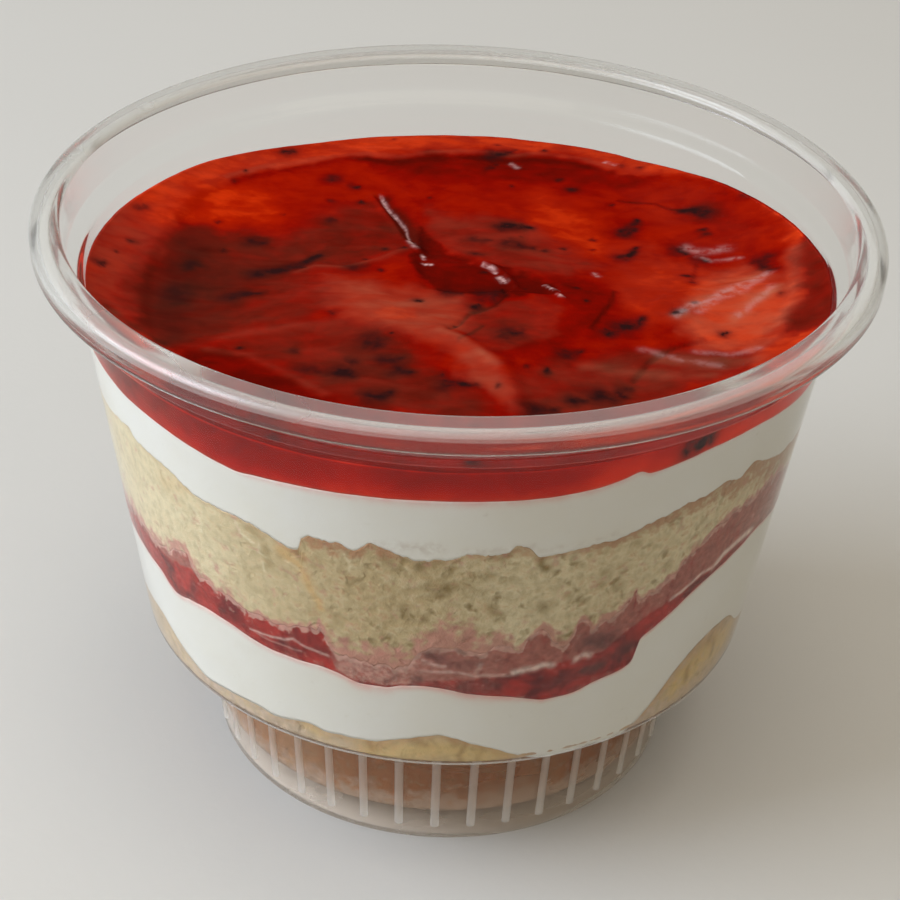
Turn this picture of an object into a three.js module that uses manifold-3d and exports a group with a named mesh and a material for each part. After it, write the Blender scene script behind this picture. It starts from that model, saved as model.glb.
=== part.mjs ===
// Strawberry cheesecake cup: a clear pot on a ribbed foot, filled from the bottom with sponge,
// cream cheese, strawberry jam, sponge, cream cheese and a deep strawberry jelly.
// Millimetres, +Z up. The origin lies on the table under the middle of the pot, and the front faces -Y.
// Bearings are degrees round the pot, from the front towards +X.

import * as THREE from "three";
import { mergeVertices } from "three/addons/utils/BufferGeometryUtils.js";
import Module from "manifold-3d";

const wasm = await Module();
wasm.setup();

// Pot, outside
const RIM_RADIUS = 46.5;
const HEIGHT = 67.8;
const RIM_WIDTH = 3.3;
const LIP_DROP = 2.7;
const COLLAR_RADIUS = 43.7;
const STEP_HEIGHT = 62.1;
const BODY_TOP_RADIUS = 42.0;
const BODY_BASE_RADIUS = 36.0;
const LEDGE_HEIGHT = 18.3;
const FOOT_TOP_RADIUS = 29.1;
const FOOT_RADIUS = 27.6;

// Pot, wall and floor
const WALL = 0.9;
const FLOOR_UNDERSIDE = 3.0;
const FLOOR_THICKNESS = 1.0;
const STANDING_RING_WIDTH = 1.6;
const CORNER = 1.6;
const SMALL_CORNER = 0.5;
const POT_SIDES = 64;
const CORNER_STEPS = 2;

// Ribs round the foot
const RIB_COUNT = 42;
const RIB_WIDTH = 1.0;
const RIB_DEPTH = 0.35;
const RIB_FOOT = 1.0;

// Fit of the filling in the pot, and of each layer on the next
const CLEARANCE = 0.3;
const FOOD_SIDES = 64;
const LAYER_REACHES = [0.45, 0.75, 0.92, 1];
const JELLY_REACHES = [0.16, 0.32, 0.46, 0.6, 0.73, 0.84, 0.93, 1];

// The line where two layers meet at the wall: its usual height, and the swells along it.
// Each swell is a rise or a dip in millimetres, centred at a bearing and fading over a spread in degrees.
const BASE_TOP = {
  level: 21.7,
  swells: [
    { bearing: 0, spread: 6, rise: 1.6 },
    { bearing: 24, spread: 13, rise: -3.0 },
    { bearing: 60, spread: 14, rise: 9.2 },
    { bearing: 170, spread: 40, rise: 1.6 },
    { bearing: -120, spread: 26, rise: -0.9 },
  ],
};
const LOWER_CREAM_TOP = {
  level: 31.9,
  swells: [
    { bearing: -38, spread: 10, rise: 0.9 },
    { bearing: 17, spread: 15, rise: -4.4 },
    { bearing: 50, spread: 15, rise: 7.6 },
    { bearing: 74, spread: 18, rise: 4.5 },
    { bearing: 150, spread: 34, rise: 2.2 },
    { bearing: -130, spread: 26, rise: -1.2 },
  ],
};
const JAM_TOP = {
  level: 35.8,
  swells: [
    { bearing: -54, spread: 9, rise: 2.0 },
    { bearing: -12, spread: 6, rise: -2.6 },
    { bearing: 16, spread: 7, rise: 2.2 },
    { bearing: 32, spread: 9, rise: 2.2 },
    { bearing: 56, spread: 20, rise: 10.8 },
    { bearing: 150, spread: 34, rise: 2.4 },
    { bearing: -130, spread: 26, rise: -1.4 },
  ],
};
const SPONGE_TOP = {
  level: 49.2,
  swells: [
    { bearing: -56, spread: 13, rise: 1.8 },
    { bearing: -26, spread: 6, rise: -2.2 },
    { bearing: 8, spread: 4, rise: 0.8 },
    { bearing: 43, spread: 17, rise: 3.0 },
    { bearing: 160, spread: 36, rise: -1.5 },
    { bearing: -120, spread: 24, rise: 1.2 },
  ],
};
const UPPER_CREAM_TOP = {
  level: 56.2,
  swells: [
    { bearing: -31, spread: 14, rise: -1.5 },
    { bearing: 46, spread: 26, rise: 2.0 },
    { bearing: 180, spread: 44, rise: -4.2 },
    { bearing: -100, spread: 24, rise: -0.8 },
  ],
};
const JELLY_CONTACT = {
  level: 60.0,
  swells: [
    { bearing: 180, spread: 40, rise: -2.3 },
    { bearing: 88, spread: 17, rise: 1.5 },
    { bearing: 130, spread: 9, rise: 0.9 },
    { bearing: -42, spread: 20, rise: -0.5 },
  ],
};
const LEAST_LAYER = 0.9;

// How fast a boundary settles from its line at the wall towards the middle, as a power of the reach
const SETTLE = 3;

// The jelly's open surface: a soft hollow held up at the wall, with folds left where it was spooned on.
// Each fold is a ridge or a furrow between two places, with its rise and half-width in millimetres.
const JELLY_LEVEL = 57.9;
const JELLY_CLIMB = 9;
const FOLDS = [
  { from: [-10, 25], to: [-4, 9], rise: -1.1, width: 4.5 },
  { from: [-5, 7], to: [12, -4], rise: 1.2, width: 4.0 },
  { from: [-30, -4], to: [-21, 7], rise: -1.3, width: 9.0 },
  { from: [-14, -5], to: [6, -18], rise: 0.9, width: 6.0 },
  { from: [18, 12], to: [31, 8], rise: -1.0, width: 6.5 },
  { from: [26, -3], to: [36, 1], rise: 0.9, width: 5.5 },
  { from: [-22, 31], to: [20, 33], rise: 0.9, width: 4.0 },
  { from: [8, -25], to: [20, -20], rise: -0.9, width: 6.0 },
];

const FINISHES = {
  cup: { color: 0xe6e2e0, roughness: 0.12, opacity: 0.35 },
  base_sponge: { color: 0xc69c66, roughness: 0.85 },
  lower_cream: { color: 0xf1efe9, roughness: 0.45 },
  jam_layer: { color: 0x9b2620, roughness: 0.25 },
  middle_sponge: { color: 0xdcc998, roughness: 0.85 },
  upper_cream: { color: 0xf1efe9, roughness: 0.45 },
  strawberry_jelly: { color: 0xa3180f, roughness: 0.1 },
};

// Radii of the tapered body and of the foot at a height

function bodyRadius(z) {
  const share = (z - LEDGE_HEIGHT) / (STEP_HEIGHT - LEDGE_HEIGHT);
  return BODY_BASE_RADIUS + (BODY_TOP_RADIUS - BODY_BASE_RADIUS) * share;
}

function footRadius(z) {
  return FOOT_RADIUS + ((FOOT_TOP_RADIUS - FOOT_RADIUS) * z) / LEDGE_HEIGHT;
}

function bore(z) {
  return bodyRadius(z) - WALL;
}

// Boolean joins, on closed meshes whose shared corners are merged

const MERGE = 1e-4;

function toSolid(geometry) {
  const bare = new THREE.BufferGeometry();
  bare.setAttribute("position", geometry.getAttribute("position"));
  bare.setIndex(geometry.getIndex());
  const merged = mergeVertices(bare, MERGE);
  const mesh = new wasm.Mesh({
    numProp: 3,
    vertProperties: merged.getAttribute("position").array,
    triVerts: new Uint32Array(merged.getIndex().array),
  });
  return new wasm.Manifold(mesh);
}

function toGeometry(solid) {
  const mesh = solid.getMesh();
  const geometry = new THREE.BufferGeometry();
  geometry.setAttribute("position", new THREE.BufferAttribute(mesh.vertProperties, 3));
  geometry.setIndex(new THREE.BufferAttribute(mesh.triVerts, 1));
  geometry.computeVertexNormals();
  return geometry;
}

// The pot's section, closed on the axis: out along the underside, up the outside and back down inside.
function potSection() {
  const section = new THREE.Path();
  const ring = FOOT_RADIUS - STANDING_RING_WIDTH;
  section.moveTo(0, FLOOR_UNDERSIDE);
  section.lineTo(ring - CORNER, FLOOR_UNDERSIDE);
  section.lineTo(ring, FLOOR_UNDERSIDE - CORNER);
  section.lineTo(ring, 0);
  section.lineTo(FOOT_RADIUS - SMALL_CORNER, 0);
  section.lineTo(FOOT_RADIUS, SMALL_CORNER);
  section.lineTo(footRadius(LEDGE_HEIGHT - CORNER), LEDGE_HEIGHT - CORNER);
  section.quadraticCurveTo(FOOT_TOP_RADIUS, LEDGE_HEIGHT, FOOT_TOP_RADIUS + CORNER, LEDGE_HEIGHT);
  section.lineTo(BODY_BASE_RADIUS - CORNER, LEDGE_HEIGHT);
  const bodyBase = LEDGE_HEIGHT + CORNER;
  section.quadraticCurveTo(BODY_BASE_RADIUS, LEDGE_HEIGHT, bodyRadius(bodyBase), bodyBase);
  section.lineTo(bodyRadius(STEP_HEIGHT - WALL), STEP_HEIGHT - WALL);
  section.lineTo(COLLAR_RADIUS - SMALL_CORNER, STEP_HEIGHT);
  section.lineTo(COLLAR_RADIUS, STEP_HEIGHT + SMALL_CORNER);
  const flangeUnderside = HEIGHT - WALL;
  const lipInside = RIM_RADIUS - 2 * SMALL_CORNER;
  const collarInside = RIM_RADIUS - RIM_WIDTH;
  section.lineTo(COLLAR_RADIUS + SMALL_CORNER, flangeUnderside);
  section.lineTo(lipInside, flangeUnderside);
  section.lineTo(lipInside, HEIGHT - LIP_DROP);
  section.lineTo(RIM_RADIUS - SMALL_CORNER, HEIGHT - LIP_DROP);
  section.lineTo(RIM_RADIUS, HEIGHT - LIP_DROP / 2);
  section.quadraticCurveTo(RIM_RADIUS, HEIGHT, RIM_RADIUS - WALL, HEIGHT);
  section.lineTo(collarInside + SMALL_CORNER, HEIGHT);
  section.lineTo(collarInside, HEIGHT - SMALL_CORNER);
  const stepInside = STEP_HEIGHT + WALL;
  section.lineTo(COLLAR_RADIUS - WALL, stepInside + SMALL_CORNER);
  section.lineTo(COLLAR_RADIUS - WALL - SMALL_CORNER, stepInside);
  section.lineTo(bore(STEP_HEIGHT), STEP_HEIGHT);
  section.lineTo(bore(bodyBase), bodyBase + WALL / 2);
  section.lineTo(BODY_BASE_RADIUS - CORNER - WALL / 2, LEDGE_HEIGHT + WALL);
  section.lineTo(FOOT_TOP_RADIUS + CORNER / 2, LEDGE_HEIGHT + WALL);
  section.lineTo(footRadius(LEDGE_HEIGHT - CORNER) - WALL, LEDGE_HEIGHT - CORNER);
  const floor = FLOOR_UNDERSIDE + FLOOR_THICKNESS;
  section.lineTo(footRadius(floor + CORNER) - WALL, floor + CORNER);
  section.lineTo(footRadius(floor) - WALL - CORNER, floor);
  section.lineTo(0, floor);
  return section.getPoints(CORNER_STEPS);
}

// One rib: a slim bar up the foot's wall that runs out into the flare under the ledge.
function ribGeometry() {
  const top = LEDGE_HEIGHT - WALL / 3;
  const outline = new THREE.Shape();
  outline.moveTo(footRadius(RIB_FOOT) - WALL / 2, RIB_FOOT);
  outline.lineTo(footRadius(RIB_FOOT) + RIB_DEPTH / 2, RIB_FOOT);
  outline.lineTo(footRadius(RIB_FOOT) + RIB_DEPTH, RIB_FOOT + RIB_DEPTH);
  outline.lineTo(footRadius(LEDGE_HEIGHT) + RIB_DEPTH, LEDGE_HEIGHT - CORNER);
  outline.lineTo(FOOT_TOP_RADIUS + CORNER, top);
  outline.lineTo(FOOT_TOP_RADIUS - WALL / 2, top);
  outline.closePath();
  const bar = new THREE.ExtrudeGeometry(outline, { depth: RIB_WIDTH, bevelEnabled: false });
  bar.translate(0, 0, -RIB_WIDTH / 2);
  bar.rotateX(Math.PI / 2);
  return bar;
}

function potGeometry() {
  const turned = new THREE.LatheGeometry(potSection(), POT_SIDES);
  turned.rotateX(Math.PI / 2);
  let pot = toSolid(turned);
  const rib = ribGeometry();
  for (let i = 0; i < RIB_COUNT; i++) {
    const placed = rib.clone().rotateZ((2 * Math.PI * i) / RIB_COUNT - Math.PI / 2);
    pot = pot.add(toSolid(placed));
  }
  return toGeometry(pot);
}

// Heights of the lines and surfaces between the layers

function turnBetween(a, b) {
  return ((((a - b + 180) % 360) + 360) % 360) - 180;
}

function lineHeight(line, bearing) {
  return line.swells.reduce((height, { bearing: centre, spread, rise }) => {
    const away = turnBetween(bearing, centre) / spread;
    return height + rise * Math.exp(-away * away);
  }, line.level);
}

// A boundary inside the food settles from its line at the wall to its usual height in the middle.
function boundary(line) {
  return (bearing, reach) => line.level + (lineHeight(line, bearing) - line.level) * reach ** SETTLE;
}

function distanceToStretch(x, y, from, to) {
  const [dx, dy] = [to[0] - from[0], to[1] - from[1]];
  const along = ((x - from[0]) * dx + (y - from[1]) * dy) / (dx * dx + dy * dy);
  const t = THREE.MathUtils.clamp(along, 0, 1);
  return Math.hypot(x - from[0] - t * dx, y - from[1] - t * dy);
}

function jellySurface(bearing, reach) {
  const radius = reach * bore(JELLY_LEVEL);
  const angle = THREE.MathUtils.degToRad(bearing);
  const [x, y] = [radius * Math.sin(angle), -radius * Math.cos(angle)];
  const open = FOLDS.reduce((height, { from, to, rise, width }) => {
    const away = distanceToStretch(x, y, from, to) / width;
    return height + rise * Math.exp(-away * away);
  }, JELLY_LEVEL);
  return THREE.MathUtils.lerp(open, lineHeight(JELLY_CONTACT, bearing), reach ** JELLY_CLIMB);
}

const lowerCreamTop = boundary(LOWER_CREAM_TOP);
const spongeTop = boundary(SPONGE_TOP);
const upperCreamTop = boundary(UPPER_CREAM_TOP);

// The bottom sponge is never thinner than the least layer where it lies on the ledge.
function baseTop(bearing, reach) {
  const least = LEDGE_HEIGHT + WALL + CLEARANCE + LEAST_LAYER + CLEARANCE / 2;
  return Math.max(boundary(BASE_TOP)(bearing, reach), least);
}

function jamTop(bearing, reach) {
  const least = lowerCreamTop(bearing, reach) + LEAST_LAYER + CLEARANCE;
  return Math.max(boundary(JAM_TOP)(bearing, reach), least);
}

// A filled body on a polar grid. Its underside and top are nets of rings round a middle point, and
// its side runs down the wall from the top net's edge, past any stations, to the underside's edge.

function netRings(reaches, height) {
  return reaches.map((reach) => (bearing) => {
    const z = height(bearing, reach);
    return [reach * (bore(z) - CLEARANCE), z];
  });
}

function bodyGeometry(rings, undersideMiddle, topMiddle) {
  const positions = [];
  for (const ring of rings) {
    for (let i = 0; i < FOOD_SIDES; i++) {
      const bearing = (360 * i) / FOOD_SIDES;
      const angle = THREE.MathUtils.degToRad(bearing);
      const [radius, z] = ring(bearing);
      positions.push(radius * Math.sin(angle), -radius * Math.cos(angle), z);
    }
  }
  const bottom = positions.length / 3;
  const top = bottom + 1;
  positions.push(0, 0, undersideMiddle, 0, 0, topMiddle);
  const faces = [];
  const last = (rings.length - 1) * FOOD_SIDES;
  for (let i = 0; i < FOOD_SIDES; i++) {
    const next = (i + 1) % FOOD_SIDES;
    faces.push(bottom, next, i);
    faces.push(top, last + i, last + next);
    for (let low = 0; low < last; low += FOOD_SIDES) {
      const high = low + FOOD_SIDES;
      faces.push(low + i, low + next, high + next);
      faces.push(low + i, high + next, high + i);
    }
  }
  const geometry = new THREE.BufferGeometry();
  geometry.setAttribute("position", new THREE.Float32BufferAttribute(positions, 3));
  geometry.setIndex(faces);
  geometry.computeVertexNormals();
  return geometry;
}

function layerGeometry(underside, top, topReaches = LAYER_REACHES) {
  const low = (bearing, reach) => underside(bearing, reach) + CLEARANCE / 2;
  const high = (bearing, reach) => top(bearing, reach) - CLEARANCE / 2;
  const rings = [
    ...netRings(LAYER_REACHES, low),
    ...netRings([...topReaches].reverse(), high),
  ];
  return bodyGeometry(rings, low(0, 0), high(0, 0));
}

// The bottom sponge fills the foot, spreads over the ledge and rises to its own line on the wall.
function baseGeometry() {
  const floor = FLOOR_UNDERSIDE + FLOOR_THICKNESS + CLEARANCE;
  const ledge = LEDGE_HEIGHT + WALL + CLEARANCE;
  const inset = WALL + CLEARANCE;
  const stations = [
    [footRadius(floor) - inset - CORNER, floor],
    [footRadius(floor + CORNER) - inset, floor + CORNER],
    [footRadius(LEDGE_HEIGHT - CORNER) - inset, LEDGE_HEIGHT - CORNER],
    [FOOT_TOP_RADIUS + CORNER / 2 - CLEARANCE, ledge],
    [BODY_BASE_RADIUS - CORNER - WALL, ledge],
  ];
  const high = (bearing, reach) => baseTop(bearing, reach) - CLEARANCE / 2;
  const rings = [
    ...stations.map((station) => () => station),
    ...netRings([...LAYER_REACHES].reverse(), high),
  ];
  return bodyGeometry(rings, floor, high(0, 0));
}

const geometries = {
  cup: potGeometry(),
  base_sponge: baseGeometry(),
  lower_cream: layerGeometry(baseTop, lowerCreamTop),
  jam_layer: layerGeometry(lowerCreamTop, jamTop),
  middle_sponge: layerGeometry(jamTop, spongeTop),
  upper_cream: layerGeometry(spongeTop, upperCreamTop),
  strawberry_jelly: layerGeometry(upperCreamTop, jellySurface, JELLY_REACHES),
};

const dessert = new THREE.Group();
for (const [name, geometry] of Object.entries(geometries)) {
  const { color, roughness, opacity = 1 } = FINISHES[name];
  const material = new THREE.MeshStandardMaterial({ color, roughness, metalness: 0 });
  material.opacity = opacity;
  material.transparent = opacity < 1;
  const mesh = new THREE.Mesh(geometry, material);
  mesh.name = name;
  dessert.add(mesh);
}

export default dessert;
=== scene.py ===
"""The strawberry cheesecake cup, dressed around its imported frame.

Lengths are millimetres until a mesh is made, when they become metres. A bearing is an angle in degrees
round the pot, from the front (-Y) towards +X. A reach is a share of the way from the axis to the wall.
"""

import sys
import logging
import math
from dataclasses import dataclass, replace
from enum import Enum, IntEnum
from functools import cache
from typing import Any

import bmesh
import bpy
import numpy as np
from bpy.types import Material, Node, NodeSocket, NodeTree, Object
from mathutils import Matrix, Vector


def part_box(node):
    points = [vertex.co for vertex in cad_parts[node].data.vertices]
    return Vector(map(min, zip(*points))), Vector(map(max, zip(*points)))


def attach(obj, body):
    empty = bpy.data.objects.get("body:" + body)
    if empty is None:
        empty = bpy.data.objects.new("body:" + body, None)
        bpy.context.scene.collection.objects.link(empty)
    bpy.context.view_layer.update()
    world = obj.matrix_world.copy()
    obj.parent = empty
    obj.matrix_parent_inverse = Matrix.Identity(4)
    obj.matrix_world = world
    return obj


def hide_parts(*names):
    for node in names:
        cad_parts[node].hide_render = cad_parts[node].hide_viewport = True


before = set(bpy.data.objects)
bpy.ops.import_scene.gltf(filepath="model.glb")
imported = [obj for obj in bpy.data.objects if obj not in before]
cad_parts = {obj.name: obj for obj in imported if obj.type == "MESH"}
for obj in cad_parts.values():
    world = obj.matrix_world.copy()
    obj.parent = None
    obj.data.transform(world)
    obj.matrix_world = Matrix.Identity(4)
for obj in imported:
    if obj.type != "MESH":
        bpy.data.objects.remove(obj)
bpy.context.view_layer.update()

Array = np.ndarray
Colour = tuple[float, float, float]
Corner = tuple[float, float, float]
Pair = tuple[float, float]
Fields = dict[str, Array]
Finishes = tuple[Material, ...]

LOG = logging.getLogger("dessert")
MM = 0.001
UNDER_WALL_SHINE = 0.08
FULL_TURN = 360.0


class Slot(str, Enum):
    """The record's material slots."""

    PLASTIC = "clear_plastic"
    BASE_CRUMB = "base_crumb"
    CREAM = "white_cream"
    JAM = "red_jam"
    PALE_CRUMB = "pale_crumb"
    JELLY = "red_jelly"


# Repeatable noise

HASH_STEPS = np.array([374761393, 668265263, 1103515245], dtype=np.int64)
HASH_TURN = 1274126177
HASH_SEED = 362437
HASH_MASK = 0xFFFFFFFF
HASH_SHIFTS = (13, 16)
HASH_TOP = 0xFFFFFF
FRACTAL_SPAN = 1.5
CORNERS = np.array([[i, j, k] for i in (0, 1) for j in (0, 1) for k in (0, 1)])
NEIGHBOURS = np.array([[i, j, k] for i in (-1, 0, 1) for j in (-1, 0, 1) for k in (-1, 0, 1)])


def hashed(cells: Array, seed: int) -> Array:
    """Give each whole-numbered cell a repeatable number.

    Args:
        cells: Whole cell coordinates, three to a row.
        seed: Which of the possible draws to use.

    Returns:
        Numbers from 0 to 1, one for each cell.
    """
    mixed = (cells.astype(np.int64) @ HASH_STEPS + seed * HASH_SEED) & HASH_MASK
    mixed = ((mixed ^ (mixed >> HASH_SHIFTS[0])) * HASH_TURN) & HASH_MASK
    mixed = mixed ^ (mixed >> HASH_SHIFTS[1])
    return (mixed & HASH_TOP) / HASH_TOP


def value_noise(points: Array, pitch: float, seed: int) -> Array:
    """Smooth noise through space.

    Args:
        points: Places in millimetres, three to a row.
        pitch: Distance between the noise's knots.
        seed: Which of the possible draws to use.

    Returns:
        Numbers from -1 to 1, one for each place.
    """
    scaled = points / pitch
    cell = np.floor(scaled)
    share = scaled - cell
    share = share * share * (3 - 2 * share)
    total = np.zeros(points.shape[:-1])
    for corner in CORNERS:
        weight = np.prod(np.where(corner, share, 1 - share), axis=-1)
        total += weight * hashed(cell + corner, seed)
    return 2 * total - 1


def fractal(points: Array, pitch: float, octaves: int, seed: int) -> Array:
    """Noise with finer noise upon it.

    Args:
        points: Places in millimetres, three to a row.
        pitch: Pitch of the coarsest octave.
        octaves: How many octaves, each half as large and half as strong.
        seed: Which of the possible draws to use.

    Returns:
        Numbers within about -1 to 1, one for each place.
    """
    total = np.zeros(points.shape[:-1])
    for octave in range(octaves):
        total += value_noise(points, pitch / 2**octave, seed + octave) / 2**octave
    return total / FRACTAL_SPAN


def cell_centres(points: Array, pitch: float, seed: int) -> tuple[Array, Array]:
    """Find the nearest of the scattered centres that fill space.

    Args:
        points: Places in millimetres, three to a row.
        pitch: Usual distance between centres.
        seed: Which of the possible draws to use.

    Returns:
        The distance to the nearest centre in pitches, and that centre's own number from 0 to 1.
    """
    scaled = points / pitch
    cell = np.floor(scaled)
    nearest = np.full(points.shape[:-1], np.inf)
    number = np.zeros(points.shape[:-1])
    for neighbour in NEIGHBOURS:
        place = cell + neighbour
        jitter = np.stack([hashed(place, seed + axis) for axis in range(3)], axis=-1)
        away = np.linalg.norm(place + jitter - scaled, axis=-1)
        closer = away < nearest
        nearest = np.where(closer, away, nearest)
        number = np.where(closer, hashed(place, seed + 3), number)
    return nearest, number


@dataclass(frozen=True)
class Wander:
    """Noise through space of one pitch, so many octaves deep, and this large."""

    pitch: float
    octaves: int
    seed: int
    size: float = 1.0

    def at(self, points: Array) -> Array:
        """The noise at these places."""
        return self.size * fractal(points, self.pitch, self.octaves, self.seed)


# Shapes round the pot's axis

STRAIGHT = 1e-3


def around(radius: Any, bearings: Any, z: Any) -> Array:
    """Points at these radii, bearings and heights, as an array whose last axis is x, y, z."""
    radius, angle, z = np.broadcast_arrays(radius, np.radians(bearings), z)
    return np.stack([radius * np.sin(angle), -radius * np.cos(angle), z], axis=-1)


def smooth(low: float, high: float, value: Array) -> Array:
    """A step from 0 at low to 1 at high, with soft ends."""
    share = np.clip((value - low) / (high - low), 0, 1)
    return share * share * (3 - 2 * share)


def fading(strength: float, reach: float, away: Array) -> Array:
    """A strength that fades softly to nothing beyond its reach."""
    return strength * np.exp(-((away / reach) ** 2))


def rounded(corners: list[Corner], step: float = 12.0) -> Array:
    """Round the corners of a line in a plane.

    Args:
        corners: Each corner's two coordinates and its radius, 0 for a sharp one.
        step: Turn between neighbouring points on a corner, in degrees.

    Returns:
        The points of the rounded line, two to a row.
    """
    places = np.array([corner[:2] for corner in corners], float)
    line = [places[0]]
    for i in range(1, len(corners) - 1):
        here, radius = places[i], corners[i][2]
        back, ahead = places[i - 1] - here, places[i + 1] - here
        back, ahead = back / np.linalg.norm(back), ahead / np.linalg.norm(ahead)
        turn = math.pi - math.acos(float(np.clip(back @ ahead, -1, 1)))
        if radius == 0 or turn < STRAIGHT:
            line.append(here)
            continue
        cut = radius * math.tan(turn / 2)
        inward = (back + ahead) / np.linalg.norm(back + ahead)
        centre = here + inward * radius / math.cos(turn / 2)
        start, end = here + back * cut - centre, here + ahead * cut - centre
        count = max(2, math.ceil(math.degrees(turn) / step))
        for j in range(count + 1):
            share = j / count
            spoke = start * (1 - share) + end * share
            line.append(centre + spoke * radius / np.linalg.norm(spoke))
    line.append(places[-1])
    return np.array(line)


def spaced(line: Array, longest: float) -> Array:
    """Split a line's long stretches so that no step is longer than this."""
    points = [line[0]]
    for a, b in zip(line[:-1], line[1:]):
        count = max(1, math.ceil(np.linalg.norm(b - a) / longest))
        points += [a + (b - a) * (j + 1) / count for j in range(count)]
    return np.array(points)


def placed(name: str, data: Any) -> Object:
    """Put a new object with this data into the scene."""
    piece = bpy.data.objects.new(name, data)
    bpy.context.scene.collection.objects.link(piece)
    return piece


def carry(mesh: bpy.types.Mesh, title: str, values: Array) -> None:
    """Let a mesh carry a value for each of its points."""
    layer = mesh.attributes.new(title, "FLOAT", "POINT")
    layer.data.foreach_set("value", values.astype(np.float32))


def mesh_of_rings(name: str, rings: Array, fields: Fields, finishes: Finishes,
                  zones: Array | None = None) -> Object:
    """Make a closed body from rings round the axis, run from its underside's middle to its top's.

    Args:
        name: The piece's name.
        rings: Ring by ring, the points in millimetres.
        fields: Values for the materials, each with one number for each point of each ring.
        finishes: The materials.
        zones: For each band between two rings, its material's number, where there are several.

    Returns:
        The piece, with its place in its mesh.
    """
    count, sides = rings.shape[:2]
    ends = np.array([rings[0].mean(axis=0), rings[-1].mean(axis=0)])
    points = np.concatenate([rings.reshape(-1, 3), ends]) * MM
    here = np.arange(sides)
    ahead = (here + 1) % sides
    low = (np.arange(count - 1) * sides)[:, None]
    quads = np.stack([low + here, low + ahead, low + sides + ahead, low + sides + here], axis=-1)
    last = (count - 1) * sides
    start = np.stack([np.full(sides, count * sides), ahead, here], axis=-1)
    end = np.stack([np.full(sides, count * sides + 1), last + here, last + ahead], axis=-1)
    mesh = bpy.data.meshes.new(name)
    faces = quads.reshape(-1, 4).tolist() + start.tolist() + end.tolist()
    mesh.from_pydata(points.tolist(), [], faces)
    mesh.polygons.foreach_set("use_smooth", np.ones(len(faces), dtype=bool))
    for finish in finishes:
        mesh.materials.append(finish)
    if zones is not None:
        numbers = np.repeat(np.concatenate([zones, zones[[0, -1]]]), sides)
        mesh.polygons.foreach_set("material_index", numbers.astype(np.int32))
    for title, values in fields.items():
        carry(mesh, title, np.concatenate([values.reshape(-1), [values[0].mean(), values[-1].mean()]]))
    mesh.update()
    return placed(name, mesh)


def settle(piece: Object, slot: Slot, *nodes: str) -> None:
    """Let a piece ride on the pot's body and stand for its nodes."""
    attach(piece, "root")
    if nodes:
        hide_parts(*nodes)
    LOG.info("%s: %d faces", piece.name, len(piece.data.polygons))


# The pot's sizes, and the lines and surfaces between its layers


@dataclass(frozen=True)
class PotSizes:
    """The pot's driving sizes, as its solid has them."""

    rim_radius: float
    height: float
    rim_width: float = 3.3
    lip_drop: float = 2.7
    lip_wall: float = 1.0
    collar_radius: float = 43.7
    step_height: float = 62.1
    body_top_radius: float = 42.0
    body_base_radius: float = 36.0
    ledge_height: float = 18.3
    foot_top_radius: float = 29.1
    foot_radius: float = 27.6
    wall: float = 0.9
    floor_underside: float = 3.0
    floor_thickness: float = 1.0
    ring_width: float = 1.6
    ledge_wall: float = 0.6
    corner: float = 0.9

    def body(self, z: Any) -> Any:
        """The tapered body's outer radius at a height."""
        share = (z - self.ledge_height) / (self.step_height - self.ledge_height)
        return self.body_base_radius + (self.body_top_radius - self.body_base_radius) * share

    def foot(self, z: Any) -> Any:
        """The foot's outer radius at a height."""
        return self.foot_radius + (self.foot_top_radius - self.foot_radius) * z / self.ledge_height

    def bore(self, z: Any) -> Any:
        """The tapered body's inner radius at a height."""
        return self.body(z) - self.wall

    def outside(self) -> list[Corner]:
        """Corners of the outer line, from the axis under the floor to the rim's top."""
        ring = self.foot_radius - self.ring_width
        flange = self.height - self.wall
        return [
            (0, self.floor_underside, 0),
            (ring - 0.6, self.floor_underside, 1.2),
            (ring, 0, 0.4),
            (self.foot_radius - 0.05, 0, 0.5),
            (self.foot_top_radius, self.ledge_height, self.corner),
            (self.body_base_radius - 0.1, self.ledge_height, self.corner),
            (self.body(self.step_height - 0.9), self.step_height - 0.9, 0.8),
            (self.collar_radius, self.step_height, 0.5),
            (self.collar_radius + 0.5, flange, 0.5),
            (self.rim_radius - self.lip_wall, flange, 0.4),
            (self.rim_radius - self.lip_wall, self.height - self.lip_drop, 0.35),
            (self.rim_radius - 0.1, self.height - self.lip_drop, 0.35),
            (self.rim_radius, self.height, 1.1),
        ]

    def inside(self) -> list[Corner]:
        """Corners of the inner line, from the rim's top to the axis on the floor."""
        floor = self.floor_underside + self.floor_thickness
        step = self.step_height + self.wall
        ledge = self.ledge_height + self.ledge_wall
        return [
            (self.rim_radius - self.rim_width, self.height, 0.6),
            (self.collar_radius - self.wall, step, 0.6),
            (self.bore(self.step_height - 0.4), self.step_height - 0.4, 0.8),
            (self.bore(ledge), ledge, 0.7),
            (self.foot_top_radius - self.wall, ledge, 1.2),
            (self.foot(floor) - self.wall, floor, 1.4),
            (0, floor, 0),
        ]


def sizes_from_frame() -> PotSizes:
    """The pot's sizes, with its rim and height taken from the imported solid."""
    low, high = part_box("cup")
    return PotSizes(rim_radius=(high.x - low.x) / 2 / MM, height=high.z / MM)


POT = sizes_from_frame()
WALL_ARC = math.radians(POT.body_top_radius)
SEEN_STRETCH = 1.01
SEEN_LIFT = 0.96


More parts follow.
